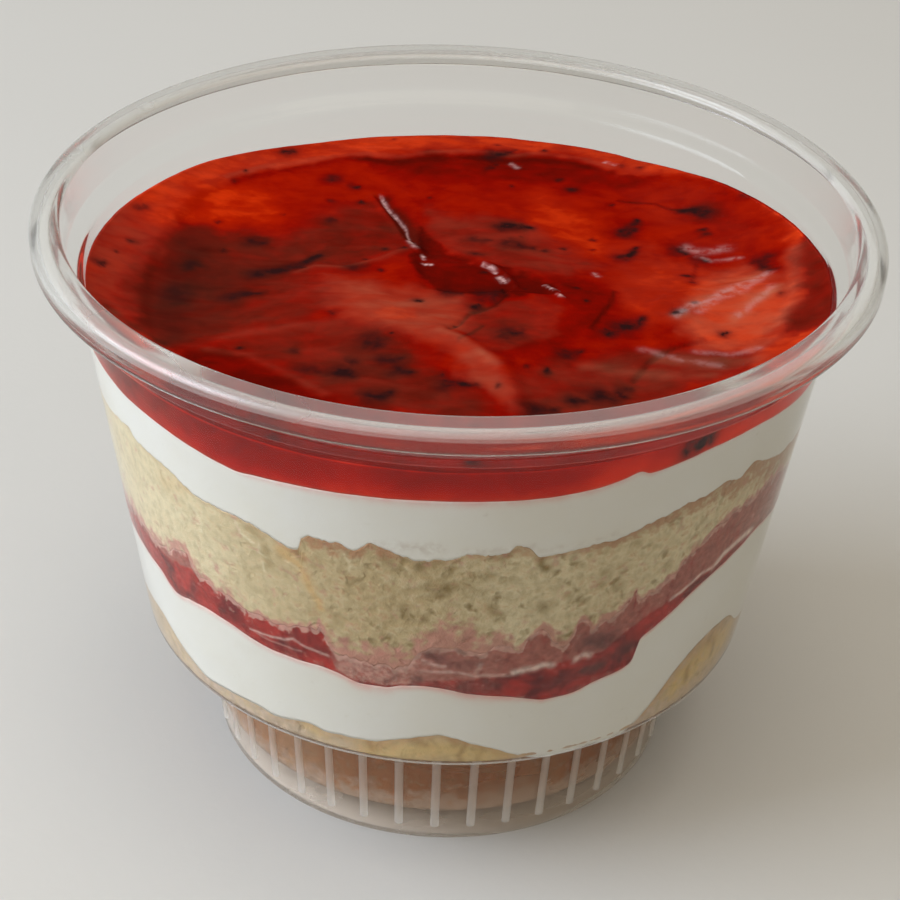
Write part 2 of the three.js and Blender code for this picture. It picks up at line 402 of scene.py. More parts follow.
@dataclass(frozen=True)
class Course:
    """A height or an amount that changes on its way round the wall, from knot to knot.

    The knots are bearings and the values there, run together. Without knots the course keeps its level.
    """

    level: float
    knots: tuple[float, ...] = ()
    ragged: float = 0.0
    pitch: float = 4.0
    seed: int = 1

    def at(self, bearings: Array) -> Array:
        """The course's values at these bearings."""
        knots = np.array(self.knots or (0, self.level)).reshape(-1, 2)
        knots = knots[np.argsort(knots[:, 0])]
        places = np.concatenate([knots[:, 0] + turn for turn in (-FULL_TURN, 0.0, FULL_TURN)])
        values = np.tile(knots[:, 1], 3)
        slopes = np.diff(values) / np.diff(places)
        before, after = slopes[:-1], slopes[1:]
        turns = before * after <= 0
        lean = np.where(turns, 0, 2 * before * after / np.where(turns, 1, before + after))
        lean = np.concatenate([[0], lean, [0]])
        spot = np.clip(np.searchsorted(places, bearings) - 1, 0, len(slopes) - 1)
        span = (places[1:] - places[:-1])[spot]
        t = (bearings - places[spot]) / span
        height = (values[spot] * (1 + 2 * t) + lean[spot] * span * t) * (1 - t) ** 2
        height = height + (values[spot + 1] * (3 - 2 * t) - lean[spot + 1] * span * (1 - t)) * t * t
        if self.ragged:
            wall = around(POT.body_top_radius, bearings, self.level)
            height = height + self.ragged * fractal(wall, self.pitch, 5, self.seed)
        return height


def true_height(seen: Any) -> Any:
    """The height of something behind the wall, which shows it a little higher."""
    return seen * SEEN_STRETCH - SEEN_LIFT


def seen_height(true: Any) -> Any:
    """The height at which the wall's outside shows something behind it."""
    return (true + SEEN_LIFT) / SEEN_STRETCH


@dataclass(frozen=True)
class EdgeLine(Course):
    """The line at the wall where two layers meet, and the surface that runs in from it."""

    settle: float = 6.0
    seen: bool = True

    def at(self, bearings: Array) -> Array:
        """The line's true heights at these bearings."""
        heights = super().at(bearings)
        return true_height(heights) if self.seen else heights

    def inside(self, bearings: Array, reach: float) -> Array:
        """Heights of the surface at these bearings and this reach."""
        return self.level + (self.at(bearings) - self.level) * reach**self.settle


def off_line(a: Array, b: Array, x: Array, y: Array) -> tuple[Array, Array]:
    """How far each place lies from the line between two points, and its share of the way along it."""
    dx, dy = b - a
    t = np.clip(((x - a[0]) * dx + (y - a[1]) * dy) / (dx * dx + dy * dy), 0, 1)
    return np.hypot(x - a[0] - t * dx, y - a[1] - t * dy), t


@dataclass(frozen=True)
class Stroke:
    """A soft mark along a few points, which may narrow towards its end."""

    points: tuple[Pair, ...]
    width: float
    strength: float = 1.0
    taper: float = 0.0

    def mask(self, across: Array, up: Array) -> Array:
        """How strongly each place is marked."""
        places = np.array(self.points)
        lengths = np.linalg.norm(np.diff(places, axis=0), axis=1)
        done = np.concatenate([[0.0], np.cumsum(lengths)]) / lengths.sum()
        best = np.zeros(np.shape(across))
        for i in range(len(places) - 1):
            away, t = off_line(places[i], places[i + 1], across, up)
            reach = self.width * (1 - self.taper * (done[i] + (done[i + 1] - done[i]) * t))
            best = np.maximum(best, np.exp(-((away / reach) ** 2)))
        return self.strength * best

    def on_wall(self, bearings: Array, heights: Array) -> Array:
        """How strongly each place on the wall is marked, where the points are bearings and heights."""
        wall = tuple((bearing * WALL_ARC, height) for bearing, height in self.points)
        return replace(self, points=wall).mask(bearings * WALL_ARC, seen_height(heights))


Strokes = tuple[Stroke, ...]


def marked(strokes: Strokes, bearings: Array, heights: Array) -> Array:
    """How strongly each place on the wall is marked by the strongest stroke there."""
    return np.max([stroke.on_wall(bearings, heights) for stroke in strokes], axis=0)


def strongest(strokes: Strokes, across: Array, up: Array) -> Array:
    """How strongly each place is marked by the strongest stroke there."""
    return np.max([stroke.mask(across, up) for stroke in strokes], axis=0)


def drawn(*rows: tuple[Any, ...], kind: type = Stroke) -> tuple[Any, ...]:
    """Draw a set of marks.

    Args:
        rows: For each mark, its numbers in the order of its fields, and then its points, run together.
        kind: The kind of mark.

    Returns:
        The marks.
    """
    return tuple(kind(tuple(zip(line[::2], line[1::2])), *numbers) for *numbers, line in rows)


LEDGE_LINE = EdgeLine(POT.ledge_height + POT.ledge_wall + 0.05, seen=False)
BASE_TOP = EdgeLine(21.7, (
    -150, 21.4, -120, 20.9, -90, 22.6, -66, 24.6, -61, 24.8, -57, 23.9, -52, 22.3, -46, 21.2, -40, 21.5,
    -34, 21.8, -30, 21.3, -23, 22.2, -19, 21.7, -12, 21.7, -8, 22.4, -3, 23.4, 0, 23.8, 3, 23.4, 6, 22.4,
    10, 21.5, 13.5, 20.2, 18, 19.4, 34, 19.4, 37, 20.4, 40, 22.2, 45, 26, 49, 27.9, 53, 28.5, 57, 28.4,
    61, 27.5, 66, 25, 76, 23, 120, 22.2, 170, 23.3,
), ragged=0.22, pitch=2.4, seed=11)
LOWER_CREAM_TOP = EdgeLine(31.9, (
    -160, 32.8, -130, 30.7, -100, 31.4, -66, 33.4, -57, 33, -51, 31.6, -47, 32.3, -42, 32.9, -38, 32.8,
    -33, 32.1, -28, 31.6, -20, 31.6, -17, 31.3, -13, 30.4, -9, 30.4, -6, 31, -3, 31.2, 1, 30.8, 6, 30.1,
    10, 29.7, 14, 29, 18, 28.5, 22, 28.7, 26, 29.6, 30, 30.1, 32.4, 30.7, 33.2, 31.8, 33.5, 33.9, 36, 35,
    40, 36.4, 44, 38, 48, 38.9, 53, 39.6, 60, 40.4, 72, 38.8, 90, 35.2, 120, 33.4, 150, 34.1,
), ragged=0.14, pitch=3, seed=21)
JAM_SEAM = Course(36.5, (
    -70, 36.4, -50, 36.6, -44, 37.4, -30, 39, -19, 38.6, -17.4, 32, -14, 31, -9, 31, -4, 32, 0, 32.3,
    5, 32.5, 10, 32.9, 15, 33.3, 20, 33.6, 24, 33.8, 27, 34.2, 29.5, 35.7, 33, 36.8, 38, 38.1, 42, 39.1,
    46, 39.8, 50, 40.3, 56, 40.9, 75, 40, 120, 36, 180, 36.5,
), ragged=0.25, pitch=2.4, seed=25)
JAM_TOP = EdgeLine(35.8, (
    -160, 36.9, -130, 34.6, -90, 36, -66, 37.3, -56, 37.2, -51, 37.7, -48, 38.7, -45.4, 39.4, -44.3, 38,
    -42, 37, -38, 36.5, -36.4, 36.9, -34.8, 36.1, -30, 36, -24.5, 36, -22.6, 36.5, -21.4, 37.3, -19.9, 37.3,
    -19.4, 38.1, -18.7, 36.6, -17.3, 34.6, -14, 33.8, -9, 33.6, -5, 34.6, -3, 36.4, 0, 36.7, 3, 37, 6, 36.1,
    9, 37.2, 12, 36.6, 13.6, 38.4, 16, 39, 17.4, 37.4, 19, 36.2, 20.3, 37, 21.6, 39.3, 22.8, 39.6,
    23.9, 37.9, 26, 38.9, 29.8, 40, 30.6, 41.2, 31.6, 40.1, 35, 41, 38.3, 42.3, 39.3, 43.6, 42, 44.3,
    44, 45.6, 48, 46.5, 53, 47.1, 60, 47.2, 75, 43.6, 100, 38.4, 150, 38.2,
), ragged=0.9, pitch=1.1, seed=31)
SPONGE_TOP = EdgeLine(49.2, (
    -150, 49, -120, 50.3, -90, 50, -66, 50.6, -57.5, 51.7, -55, 50.9, -50, 50.7, -45, 50.2, -42, 49.5,
    -38, 49, -31, 48.7, -27.5, 48.3, -25.5, 47.6, -23.5, 47.4, -21.9, 47.5, -21.3, 48.9, -20, 49.6,
    -16, 49.6, -13.4, 49.1, -10.6, 50.3, -8.3, 49.8, -6, 49, -2, 48.8, 2, 49.6, 6, 49.9, 8.6, 50, 10, 50.8,
    12, 50.3, 13.6, 49.4, 18, 49.4, 23, 49.8, 27, 50, 31, 50.8, 36, 51.7, 41, 52, 45, 52.4, 48, 51.6,
    51, 52.7, 55, 51.7, 62, 50.3, 75, 49.6, 120, 49, 160, 47.7,
), ragged=0.45, pitch=1.1, seed=41)
UPPER_CREAM_TOP = EdgeLine(54.8, (
    -170, 52.2, -140, 53.6, -100, 55.4, -66, 56.6, -56, 56.3, -50, 56.2, -45, 56, -40, 55.7, -35, 55.4,
    -31, 55.2, -28, 55.5, -20, 56, -10, 56.4, 0, 56.7, 10, 56.8, 20, 57.2, 24.5, 57.8, 27, 58.3, 28.8, 57.8,
    35, 58.1, 40, 58.4, 47, 58.3, 55, 57.8, 62, 57.2, 90, 56.6, 140, 54.2,
), ragged=0.08, pitch=4, seed=51)
JELLY_CONTACT = EdgeLine(60, (
    -175, 57.4, -155, 57.6, -130, 58.9, -90, 60, -45, 59.6, 0, 60, 60, 60.3, 86, 61.4, 104, 60.7, 128, 59.4,
    150, 57.9,
), ragged=0.2, pitch=9, seed=61, seen=False)


# Node wiring


@dataclass
class Wiring:
    """Adds nodes to a tree and links them."""

    tree: NodeTree

    def add(self, kind: str, feeds: dict[Any, Any] | None = None, **settings: Any) -> Node:
        """Add a node.

        Args:
            kind: The node's type.
            feeds: For each input, a value or the output that feeds it.
            settings: The node's own properties.

        Returns:
            The new node.
        """
        node = self.tree.nodes.new(kind)
        for title, value in settings.items():
            setattr(node, title, value)
        for socket, value in (feeds or {}).items():
            self.feed(node.inputs[socket], value)
        return node

    def feed(self, socket: NodeSocket, value: Any) -> None:
        """Link an output to a socket, or set the socket's own value."""
        if isinstance(value, NodeSocket):
            self.tree.links.new(value, socket)
        elif socket.type == "RGBA":
            socket.default_value = (*value, 1)
        else:
            socket.default_value = value

    def place(self) -> NodeSocket:
        """The point's own coordinates on the piece, in metres."""
        return self.add("ShaderNodeTexCoord").outputs["Object"]

    def field(self, title: str) -> NodeSocket:
        """A value that the mesh carries."""
        return self.add("ShaderNodeAttribute", attribute_name=title).outputs["Fac"]

    def noise(self, vector: Any, pitch: float, detail: float = 3.0, distortion: float = 0.0) -> Any:
        """Noise with this pitch in millimetres, from 0 to 1."""
        feeds = {"Vector": vector, "Scale": 1 / (pitch * MM), "Detail": detail, "Distortion": distortion}
        return self.add("ShaderNodeTexNoise", feeds).outputs["Fac"]

    def stretched(self, vector: Any, turn: float, squeeze: Corner) -> Any:
        """Coordinates turned about Z and squeezed, so that a pattern on them runs long one way."""
        feeds = {"Vector": vector, "Rotation": (0, 0, math.radians(turn)), "Scale": squeeze}
        return self.add("ShaderNodeMapping", feeds).outputs[0]

    def reckon(self, how: str, a: Any, b: Any = 0.0, clamp: bool = False) -> Any:
        """The result of a sum on two values."""
        return self.add("ShaderNodeMath", {0: a, 1: b}, operation=how, use_clamp=clamp).outputs[0]

    def times(self, a: Any, b: Any, clamp: bool = False) -> Any:
        """The product of two values."""
        return self.reckon("MULTIPLY", a, b, clamp)

    def plus(self, a: Any, b: Any, clamp: bool = False) -> Any:
        """The sum of two values."""
        return self.reckon("ADD", a, b, clamp)

    def remap(self, value: Any, low: float, high: float, to_low: float = 0, to_high: float = 1) -> Any:
        """A value moved from one range to another and held within it."""
        feeds = {"Value": value, "From Min": low, "From Max": high, "To Min": to_low, "To Max": to_high}
        return self.add("ShaderNodeMapRange", feeds).outputs["Result"]

    def ramp(self, value: Any, stops: tuple[tuple[float, Colour], ...]) -> Any:
        """A colour that runs through these stops as the value goes from 0 to 1."""
        node = self.add("ShaderNodeValToRGB", {"Fac": value})
        elements = node.color_ramp.elements
        while len(elements) < len(stops):
            elements.new(1.0)
        for element, (place, colour) in zip(elements, stops):
            element.position = place
            element.color = (*colour, 1)
        return node.outputs["Color"]

    def blend(self, share: Any, a: Any, b: Any, how: str = "MIX") -> Any:
        """One colour mixed with another."""
        node = self.add("ShaderNodeMix", data_type="RGBA", blend_type=how)
        for socket, value in ((0, share), (6, a), (7, b)):
            self.feed(node.inputs[socket], value)
        return node.outputs[2]

    def lay(self, colour: Any, over: Any, title: str, pattern: Any) -> Any:
        """A colour with another laid over it, as far as a value of the mesh and a pattern say."""
        return self.blend(self.times(self.field(title), pattern, clamp=True), colour, over)

    def bump(self, height: Any, distance: float, strength: float = 1.0) -> Any:
        """A normal from a height, whose full range stands this many millimetres proud."""
        feeds = {"Height": height, "Distance": distance * MM, "Strength": strength}
        return self.add("ShaderNodeBump", feeds).outputs["Normal"]

    def grouped(self, tree: NodeTree, feeds: dict[str, Any]) -> Any:
        """Place a shared group with these inputs, and give back its outputs."""
        node = self.add("ShaderNodeGroup", node_tree=tree)
        for socket, value in feeds.items():
            self.feed(node.inputs[socket], value)
        return node.outputs


def start_tree(title: str, kind: str, takes: dict[str, str],
               gives: dict[str, str]) -> tuple[Wiring, Any, Node]:
    """Start a tree of nodes.

    Args:
        title: The tree's name.
        kind: The tree's type.
        takes: The sort of each input.
        gives: The sort of each output.

    Returns:
        The wiring, the inputs' sockets and the output node.
    """
    tree = bpy.data.node_groups.new(title, kind)
    for way, sockets in (("INPUT", takes), ("OUTPUT", gives)):
        for socket, sort in sockets.items():
            tree.interface.new_socket(socket, in_out=way, socket_type=f"NodeSocket{sort}")
    w = Wiring(tree)
    return w, w.add("NodeGroupInput").outputs, w.add("NodeGroupOutput")


# Shared groups

SMEAR_SQUEEZE = (0.3, 0.3, 1)
SMEAR_FINER = 3.7
SMEAR_FINE_SHARE = 0.3
SMEAR_LEVEL = 0.77
SMEAR_WITHIN = (0.42, 0.62)
PORE_WITHIN = (0.43, 0.28)
PORE_SWIRL = 0.3
PORE_SINK = 0.6
FLAKE_FINER = 1.9
FLAKE_ROUGHNESS = 0.65


@cache
def smears_group() -> NodeTree:
    """Make the shared group of long soft marks, as a spoon or a wall leaves them."""
    takes = {"Vector": "Vector", "Scale": "Float", "Swirl": "Float"}
    gives = {"Mask": "Float", "Height": "Float"}
    w, given, leave = start_tree("soft_smears", "ShaderNodeTree", takes, gives)
    long_way = w.stretched(given["Vector"], 0, SMEAR_SQUEEZE)
    coarse = {"Vector": long_way, "Detail": 4, "Scale": given["Scale"], "Distortion": given["Swirl"]}
    marks = w.add("ShaderNodeTexNoise", coarse).outputs["Fac"]
    fine = {"Vector": long_way, "Detail": 2, "Scale": w.times(given["Scale"], SMEAR_FINER)}
    grain = w.add("ShaderNodeTexNoise", fine).outputs["Fac"]
    height = w.times(w.plus(marks, w.times(grain, SMEAR_FINE_SHARE)), SMEAR_LEVEL)
    w.feed(leave.inputs["Height"], height)
    w.feed(leave.inputs["Mask"], w.remap(marks, *SMEAR_WITHIN))
    return w.tree


@cache
def crumb_group() -> NodeTree:
    """Make the shared group of the scattered pores and fine flakes of sponge."""
    takes = {"Vector": "Vector", "Scale": "Float"}
    gives = {"Pores": "Float", "Flakes": "Float", "Height": "Float"}
    w, given, leave = start_tree("sponge_crumb", "ShaderNodeTree", takes, gives)
    coarse = {"Vector": given["Vector"], "Scale": given["Scale"], "Detail": 2, "Distortion": PORE_SWIRL}
    pores = w.remap(w.add("ShaderNodeTexNoise", coarse).outputs["Fac"], *PORE_WITHIN)
    fine = {"Vector": given["Vector"], "Detail": 4, "Roughness": FLAKE_ROUGHNESS,
            "Scale": w.times(given["Scale"], FLAKE_FINER)}
    flakes = w.add("ShaderNodeTexNoise", fine).outputs["Fac"]
    w.feed(leave.inputs["Pores"], pores)
    w.feed(leave.inputs["Flakes"], flakes)
    w.feed(leave.inputs["Height"], w.reckon("SUBTRACT", flakes, w.times(pores, PORE_SINK)))
    return w.tree


# Finishes

SMEAR_SHARE = 0.4  # where a finish adds relief of its own


@dataclass(frozen=True)
class Pattern:
    """Noise of one pitch in millimetres, with a stretch of its values spread onto another range."""

    pitch: float
    detail: float = 3.0
    within: Pair = (0.35, 0.65)
    onto: Pair = (0, 1)
    swirl: float = 0.0

    def on(self, w: Wiring, place: Any) -> Any:
        """Wire the pattern at these coordinates."""
        return w.remap(w.noise(place, self.pitch, self.detail, self.swirl), *self.within, *self.onto)


@dataclass(frozen=True)
class Finish:
    """A finish that makes its own material."""

    title: str
    smear_scale: float = 160.0
    smear_swirl: float = 0.6
    roughness: Pair = (0.32, 0.5)
    relief: float = 0.12

    def make(self) -> Material:
        """Make the material."""
        material = bpy.data.materials.new(self.title)
        material.use_nodes = True
        w = Wiring(material.node_tree)
        shader = w.tree.nodes["Principled BSDF"]
        for socket, value in self.dress(w, w.place()).items():
            w.feed(shader.inputs[socket], value)
        w.feed(w.tree.nodes["Material Output"].inputs["Surface"], self.surface(w, shader))
        return material

    def smeared(self, w: Wiring, place: Any, extra: Any = None) -> dict[str, Any]:
        """The roughness and the normal that the shared smears give, with more relief added to theirs."""
        feeds = {"Vector": place, "Scale": self.smear_scale, "Swirl": self.smear_swirl}
        marks = w.grouped(smears_group(), feeds)
        height = marks["Height"] if extra is None else w.plus(w.times(marks["Height"], SMEAR_SHARE), extra)
        return {
            "Roughness": w.remap(marks["Mask"], 0, 1, *self.roughness),
            "Normal": w.bump(height, self.relief),
        }

    def surface(self, w: Wiring, shader: Node) -> Any:
        """What the material shows, by its own shader."""
        return shader.outputs[0]

    def dress(self, w: Wiring, place: Any) -> dict[str, Any]:
        """Wire the finish.

        Args:
            w: The material's wiring.
            place: The point's own coordinates.

        Returns:
            What each of the shader's inputs gets, a plain value or an output.
        """
        raise NotImplementedError


@dataclass(frozen=True)
class ClearPlastic(Finish):
    """Clear plastic that lets lamps through, with more or less milkiness and haze."""

    smear_scale: float = 130.0
    roughness: Pair = (0.02, 0.05)
    relief: float = 0.02
    milky: float = 0.004
    tint: Colour = (0.965, 0.96, 0.95)
    shade: Colour = (0.95, 0.945, 0.94)
    upper_tint: Colour = (0.965, 0.96, 0.95)
    tint_rise: Pair = (3, 8.5)
    refraction: float = 1.12
    gloss: float = 0.45
    coat_refraction: float = 1.5

    def surface(self, w: Wiring, shader: Node) -> Any:
        """Let shadow rays pass with a slight tint."""
        passing = w.add("ShaderNodeBsdfTransparent", {"Color": self.shade}).outputs[0]
        in_shadow = w.add("ShaderNodeLightPath").outputs["Is Shadow Ray"]
        return w.add("ShaderNodeMixShader", {0: in_shadow, 1: shader.outputs[0], 2: passing}).outputs[0]

    def dress(self, w: Wiring, place: Any) -> dict[str, Any]:
        """Wire the haze and the tint that changes with the height."""
        low, high = self.tint_rise
        rise = w.remap(w.add("ShaderNodeSeparateXYZ", {0: place}).outputs["Z"], low * MM, high * MM)
        return {
            "Base Color": w.blend(rise, self.tint, self.upper_tint),
            "IOR": self.refraction,
            "Transmission Weight": 1 - self.milky,
            "Coat Weight": self.gloss,
            "Coat IOR": self.coat_refraction,
            "Coat Roughness": self.roughness[0],
            **self.smeared(w, place),
        }


@dataclass(frozen=True)
class Cream(Finish):
    """Smooth white cheese cream, stained where red lies on it."""

    white: Colour = (0.725, 0.712, 0.66)
    warm: Colour = (0.71, 0.69, 0.62)
    stain: Colour = (0.7, 0.26, 0.22)
    speck: Colour = (0.64, 0.62, 0.54)
    dust: Colour = (0.5, 0.43, 0.36)
    warmth: Pattern = Pattern(9)
    specks: Pattern = Pattern(1.3, 2, (0.7, 0.78), (0, 0.6))
    wander: Pattern = Pattern(1.6, 4, (0.3, 0.7), (0.5, 1.3))
    crumbs: Pattern = Pattern(0.8, 5, (0.36, 0.6))

    def dress(self, w: Wiring, place: Any) -> dict[str, Any]:
        """Wire the marks of the wall, the warm patches, the specks and the stain."""
        colour = w.blend(self.warmth.on(w, place), self.white, self.warm)
        colour = w.blend(self.specks.on(w, place), colour, self.speck)
        colour = w.lay(colour, self.stain, "soak", self.wander.on(w, place))
        colour = w.lay(colour, self.dust, "dust", self.crumbs.on(w, place))
        return {"Base Color": colour, "Specular IOR Level": UNDER_WALL_SHINE, **self.smeared(w, place)}


@dataclass(frozen=True)
class Crumb(Finish):
    """Sponge: pale crumb with open pores, crust and red stains, with painted shade in the pores and pits.
    """

    pale: Colour = (0.49, 0.375, 0.2)
    light: Colour = (0.69, 0.595, 0.385)
    # Painted shade in the pores and pits.
    pore_shade: Colour = (0.27, 0.19, 0.075)
    crust: Colour = (0.36, 0.16, 0.08)
    stain: Colour = (0.5, 0.215, 0.18)
    golden: Colour = (0.6, 0.38, 0.16)
    pitch: float = 1.7
    mottle: Pattern = Pattern(4, onto=(-0.12, 0.12))
    torn: Pattern = Pattern(0.9, 6, (0.32, 0.68), (-0.6, 0.6))
    seep: Pattern = Pattern(1.3, 6, (0.3, 0.7), (-0.55, 0.55))
    lively: Pattern = Pattern(0.9, 5, (0.34, 0.66), (0.89, 1.09))
    flakes_within: Pair = (0.34, 0.66)
    flakes_onto: Pair = (-0.38, 0.42)
    smeared_grain: float = 0.3
    crust_blend: Pair = (0.1, 0.95)
    stain_blend: Pair = (0.25, 0.85)
    dryness: float = 0.8
    relief: float = 0.3

    def dress(self, w: Wiring, place: Any) -> dict[str, Any]:
        """Wire the crumb, the painted shade in its pores and pits, its crust, its golden creases and its
        stain.
        """
        crumb = w.grouped(crumb_group(), {"Vector": place, "Scale": 1 / (self.pitch * MM)})
        grainy = w.remap(w.field("open"), 0, 1, self.smeared_grain, 1)
        flaky = w.times(w.remap(crumb["Flakes"], *self.flakes_within, *self.flakes_onto), grainy)
        pale = w.plus(w.plus(w.field("pale"), self.mottle.on(w, place)), flaky, clamp=True)
        colour = w.blend(w.field("golden"), w.blend(pale, self.pale, self.light), self.golden)
        # Painted shade: the pores and pits darken the colour.
        open_crumb = w.times(crumb["Pores"], w.field("open"))
        pit_shade = w.reckon("MAXIMUM", open_crumb, w.field("pit"), clamp=True)
        colour = w.blend(pit_shade, colour, self.pore_shade)
        crust = w.remap(w.plus(w.field("crust"), self.torn.on(w, place)), *self.crust_blend)
        colour = w.lay(colour, self.crust, "browned", crust)
        soak = w.remap(w.plus(w.field("soak"), self.seep.on(w, place)), *self.stain_blend)
        colour = w.lay(colour, self.stain, "stained", soak)
        return {
            "Base Color": w.blend(1.0, colour, self.lively.on(w, place), "MULTIPLY"),
            "Specular IOR Level": UNDER_WALL_SHINE,
            "Roughness": self.dryness,
            "Normal": w.bump(w.times(crumb["Height"], grainy), self.relief),
        }


@dataclass(frozen=True)
class Jam(Finish):
    """Wet strawberry jam, milky where the crumb has drunk it."""

    smear_scale: float = 260.0
    smear_swirl: float = 1.2
    red: Colour = (0.37, 0.03, 0.022)
    dark: Colour = (0.13, 0.013, 0.012)
    soaked: Colour = (0.35, 0.12, 0.092)
    # Colour of the pale threads of painted highlight.
    thread: Colour = (0.74, 0.58, 0.5)
    pulp: Colour = (0.12, 0.045, 0.04)
    crumbly: Colour = (0.55, 0.33, 0.265)
    depths: Pattern = Pattern(3, 4, (0.42, 0.68), swirl=0.5)
    streaks: Pattern = Pattern(1.2, 6, (0.3, 0.7), (-0.45, 0.45), 0.5)
    squeeze: Corner = (1, 1, 0.45)
    torn: Pattern = Pattern(1, 6, (0.3, 0.7), (-0.6, 0.6))
    grains: Pattern = Pattern(0.45, 5, (0.36, 0.62), (0.2, 0.75))
    frayed: Pattern = Pattern(1.1, 3, (0.32, 0.5), (0.6, 1.1))
    lively: Pattern = Pattern(0.8, 5, (0.34, 0.66), (0.78, 1.18))
    soak_blend: Pair = (0.2, 0.9)
    crumb_blend: Pair = (0.45, 0.8)
    crumb_share: float = 0.75
    roughness: Pair = (0.2, 0.4)
    relief: float = 0.1

    def dress(self, w: Wiring, place: Any) -> dict[str, Any]:
        """Wire the clear red, soaked crumb, dark pulp, loose crumb and pale threads of painted highlight.
        """
        colour = w.blend(self.depths.on(w, place), self.red, self.dark)
        streaks = self.streaks.on(w, w.stretched(place, 0, self.squeeze))
        soak = w.remap(w.plus(w.field("soak"), streaks), *self.soak_blend)
        colour = w.blend(soak, colour, self.soaked)
        crumbs = w.plus(w.field("crumbs"), self.torn.on(w, place))
        colour = w.blend(w.remap(crumbs, *self.crumb_blend, 0, self.crumb_share), colour, self.crumbly)
        colour = w.lay(colour, self.crumbly, "grain", self.grains.on(w, place))
        colour = w.blend(w.field("pocket"), colour, self.pulp)
        colour = w.lay(colour, self.thread, "thread", self.frayed.on(w, place))
        return {
            "Base Color": w.blend(1.0, colour, self.lively.on(w, place), "MULTIPLY"),
            "Specular IOR Level": UNDER_WALL_SHINE,
            **self.smeared(w, place),
        }


@dataclass(frozen=True)
class Jelly(Finish):
    """Glossy strawberry jelly, with a milky film and painted sheen over parts of it, painted glints, and
    soft dark bits within.
    """

    smear_scale: float = 110.0
    smear_swirl: float = 1.6
    tones: tuple[tuple[float, Colour], ...] = (
        (0, (0.035, 0.003, 0.002)),
        (0.35, (0.12, 0.003, 0.001)),
        (0.6, (0.26, 0.003, 0.0005)),
        (0.85, (0.4, 0.011, 0.0006)),
        (1, (0.6, 0.032, 0.003)),
    )
    # The milky film's colour, which is also laid on as painted sheen.
    milk_and_sheen: Colour = (0.46, 0.155, 0.085)
    bits: Colour = (0.028, 0.007, 0.007)
    # Painted glints: a pale colour laid where the glint strokes fall, broken up by a pattern.
    glint: Colour = (0.66, 0.4, 0.4)
    clouds: Pattern = Pattern(6, 5, (0.3, 0.7), (-0.09, 0.09), 0.8)
    streaks: Pattern = Pattern(1.5, 5, (0.3, 0.7), (-0.07, 0.07), 0.4)
    streak_turn: float = 25.0
    streak_squeeze: Corner = (0.6, 1, 1)
    silk_pitch: float = 2.6
    silk_detail: float = 5.0
    silk_swirl: float = 0.6
    silk_turn: float = -16.0
    silk_squeeze: Corner = (0.4, 1, 1)
    silk_within: Pair = (0.36, 0.64)
    silk_onto: Pair = (0.6, 1.35)
    ragged: Pattern = Pattern(1.3, 4, (0.3, 0.62), (0.4, 1.15))
    broken: Pattern = Pattern(1.1, 3, (0.36, 0.56), (0.2, 1.1))
    roughness: Pair = (0.25, 0.4)
    relief: float = 0.1
    wet: float = 0.035
    wet_roughness: float = 0.12
    wet_refraction: float = 1.4

    def dress(self, w: Wiring, place: Any) -> dict[str, Any]:
        """Wire the tone, the silky streaks of the film and painted sheen, the bits, the painted glints and
        the wet surface.
        """
        streaks = self.streaks.on(w, w.stretched(place, self.streak_turn, self.streak_squeeze))
        tone = w.plus(w.plus(w.field("tone"), streaks), self.clouds.on(w, place), clamp=True)
        silky = w.stretched(place, self.silk_turn, self.silk_squeeze)
        silk = w.noise(silky, self.silk_pitch, self.silk_detail, self.silk_swirl)
        colour = w.lay(w.ramp(tone, self.tones), self.milk_and_sheen, "film",
                       w.remap(silk, *self.silk_within, *self.silk_onto))
        colour = w.lay(colour, self.bits, "bits", self.ragged.on(w, place))
        colour = w.lay(colour, self.glint, "glint", self.broken.on(w, place))
        return {
            "Base Color": colour,
            "Specular IOR Level": 0.0,
            "Coat Weight": self.wet,
            "Coat IOR": self.wet_refraction,
            "Coat Roughness": self.wet_roughness,
            **self.smeared(w, place, w.times(silk, w.field("film"))),
        }


@dataclass(frozen=True)
class BerrySkin(Finish):
    """Dark wet berry bits."""

    dark: Colour = (0.03, 0.007, 0.008)
    red: Colour = (0.11, 0.008, 0.006)
    mottle: Pattern = Pattern(1.4)
    grain_pitch: float = 0.4
    relief: float = 0.1
    wetness: float = 0.25

    def dress(self, w: Wiring, place: Any) -> dict[str, Any]:
        """Wire the two dark shades and the wet surface."""
        return {
            "Base Color": w.blend(self.mottle.on(w, place), self.dark, self.red),
            "Normal": w.bump(w.noise(place, self.grain_pitch), self.relief),
            "Specular IOR Level": UNDER_WALL_SHINE,
            "Roughness": self.wetness,
        }


@dataclass(frozen=True)
class Tabletop(Finish):
    """The pale table, with the faintest mottling."""

    pale: Colour = (0.73, 0.725, 0.71)
    grey: Colour = (0.7, 0.695, 0.68)
    mottle_pitch: float = 70.0
    grain_pitch: float = 1.2
    relief: float = 0.02
    dryness: float = 0.6

    def dress(self, w: Wiring, place: Any) -> dict[str, Any]:
        """Wire the mottling."""
        return {
            "Base Color": w.blend(w.noise(place, self.mottle_pitch), self.pale, self.grey),
            "Normal": w.bump(w.noise(place, self.grain_pitch, 2.0), self.relief),
            "Roughness": self.dryness,
        }


# Sub-assemblies


def grow(piece: Object, tree: NodeTree, values: dict[str, Any]) -> Object:
    """Run a geometry tree on a piece and keep the result as its plain mesh.

    Args:
        piece: The piece that the tree starts from.
        tree: The geometry tree.
        values: For each of the tree's inputs, its value.

    Returns:
        The same piece, with the result as its mesh and no modifier.
    """
    modifier = piece.modifiers.new(tree.name, "NODES")
    modifier.node_group = tree
    for item in tree.interface.items_tree:
        if item.item_type == "SOCKET" and item.in_out == "INPUT" and item.name in values:
            modifier[item.identifier] = values[item.name]
    bpy.context.view_layer.update()
    graph = bpy.context.evaluated_depsgraph_get()
    mesh = bpy.data.meshes.new_from_object(piece.evaluated_get(graph))
    piece.modifiers.remove(modifier)
    mesh.name = piece.name
    piece.data = mesh
    return piece


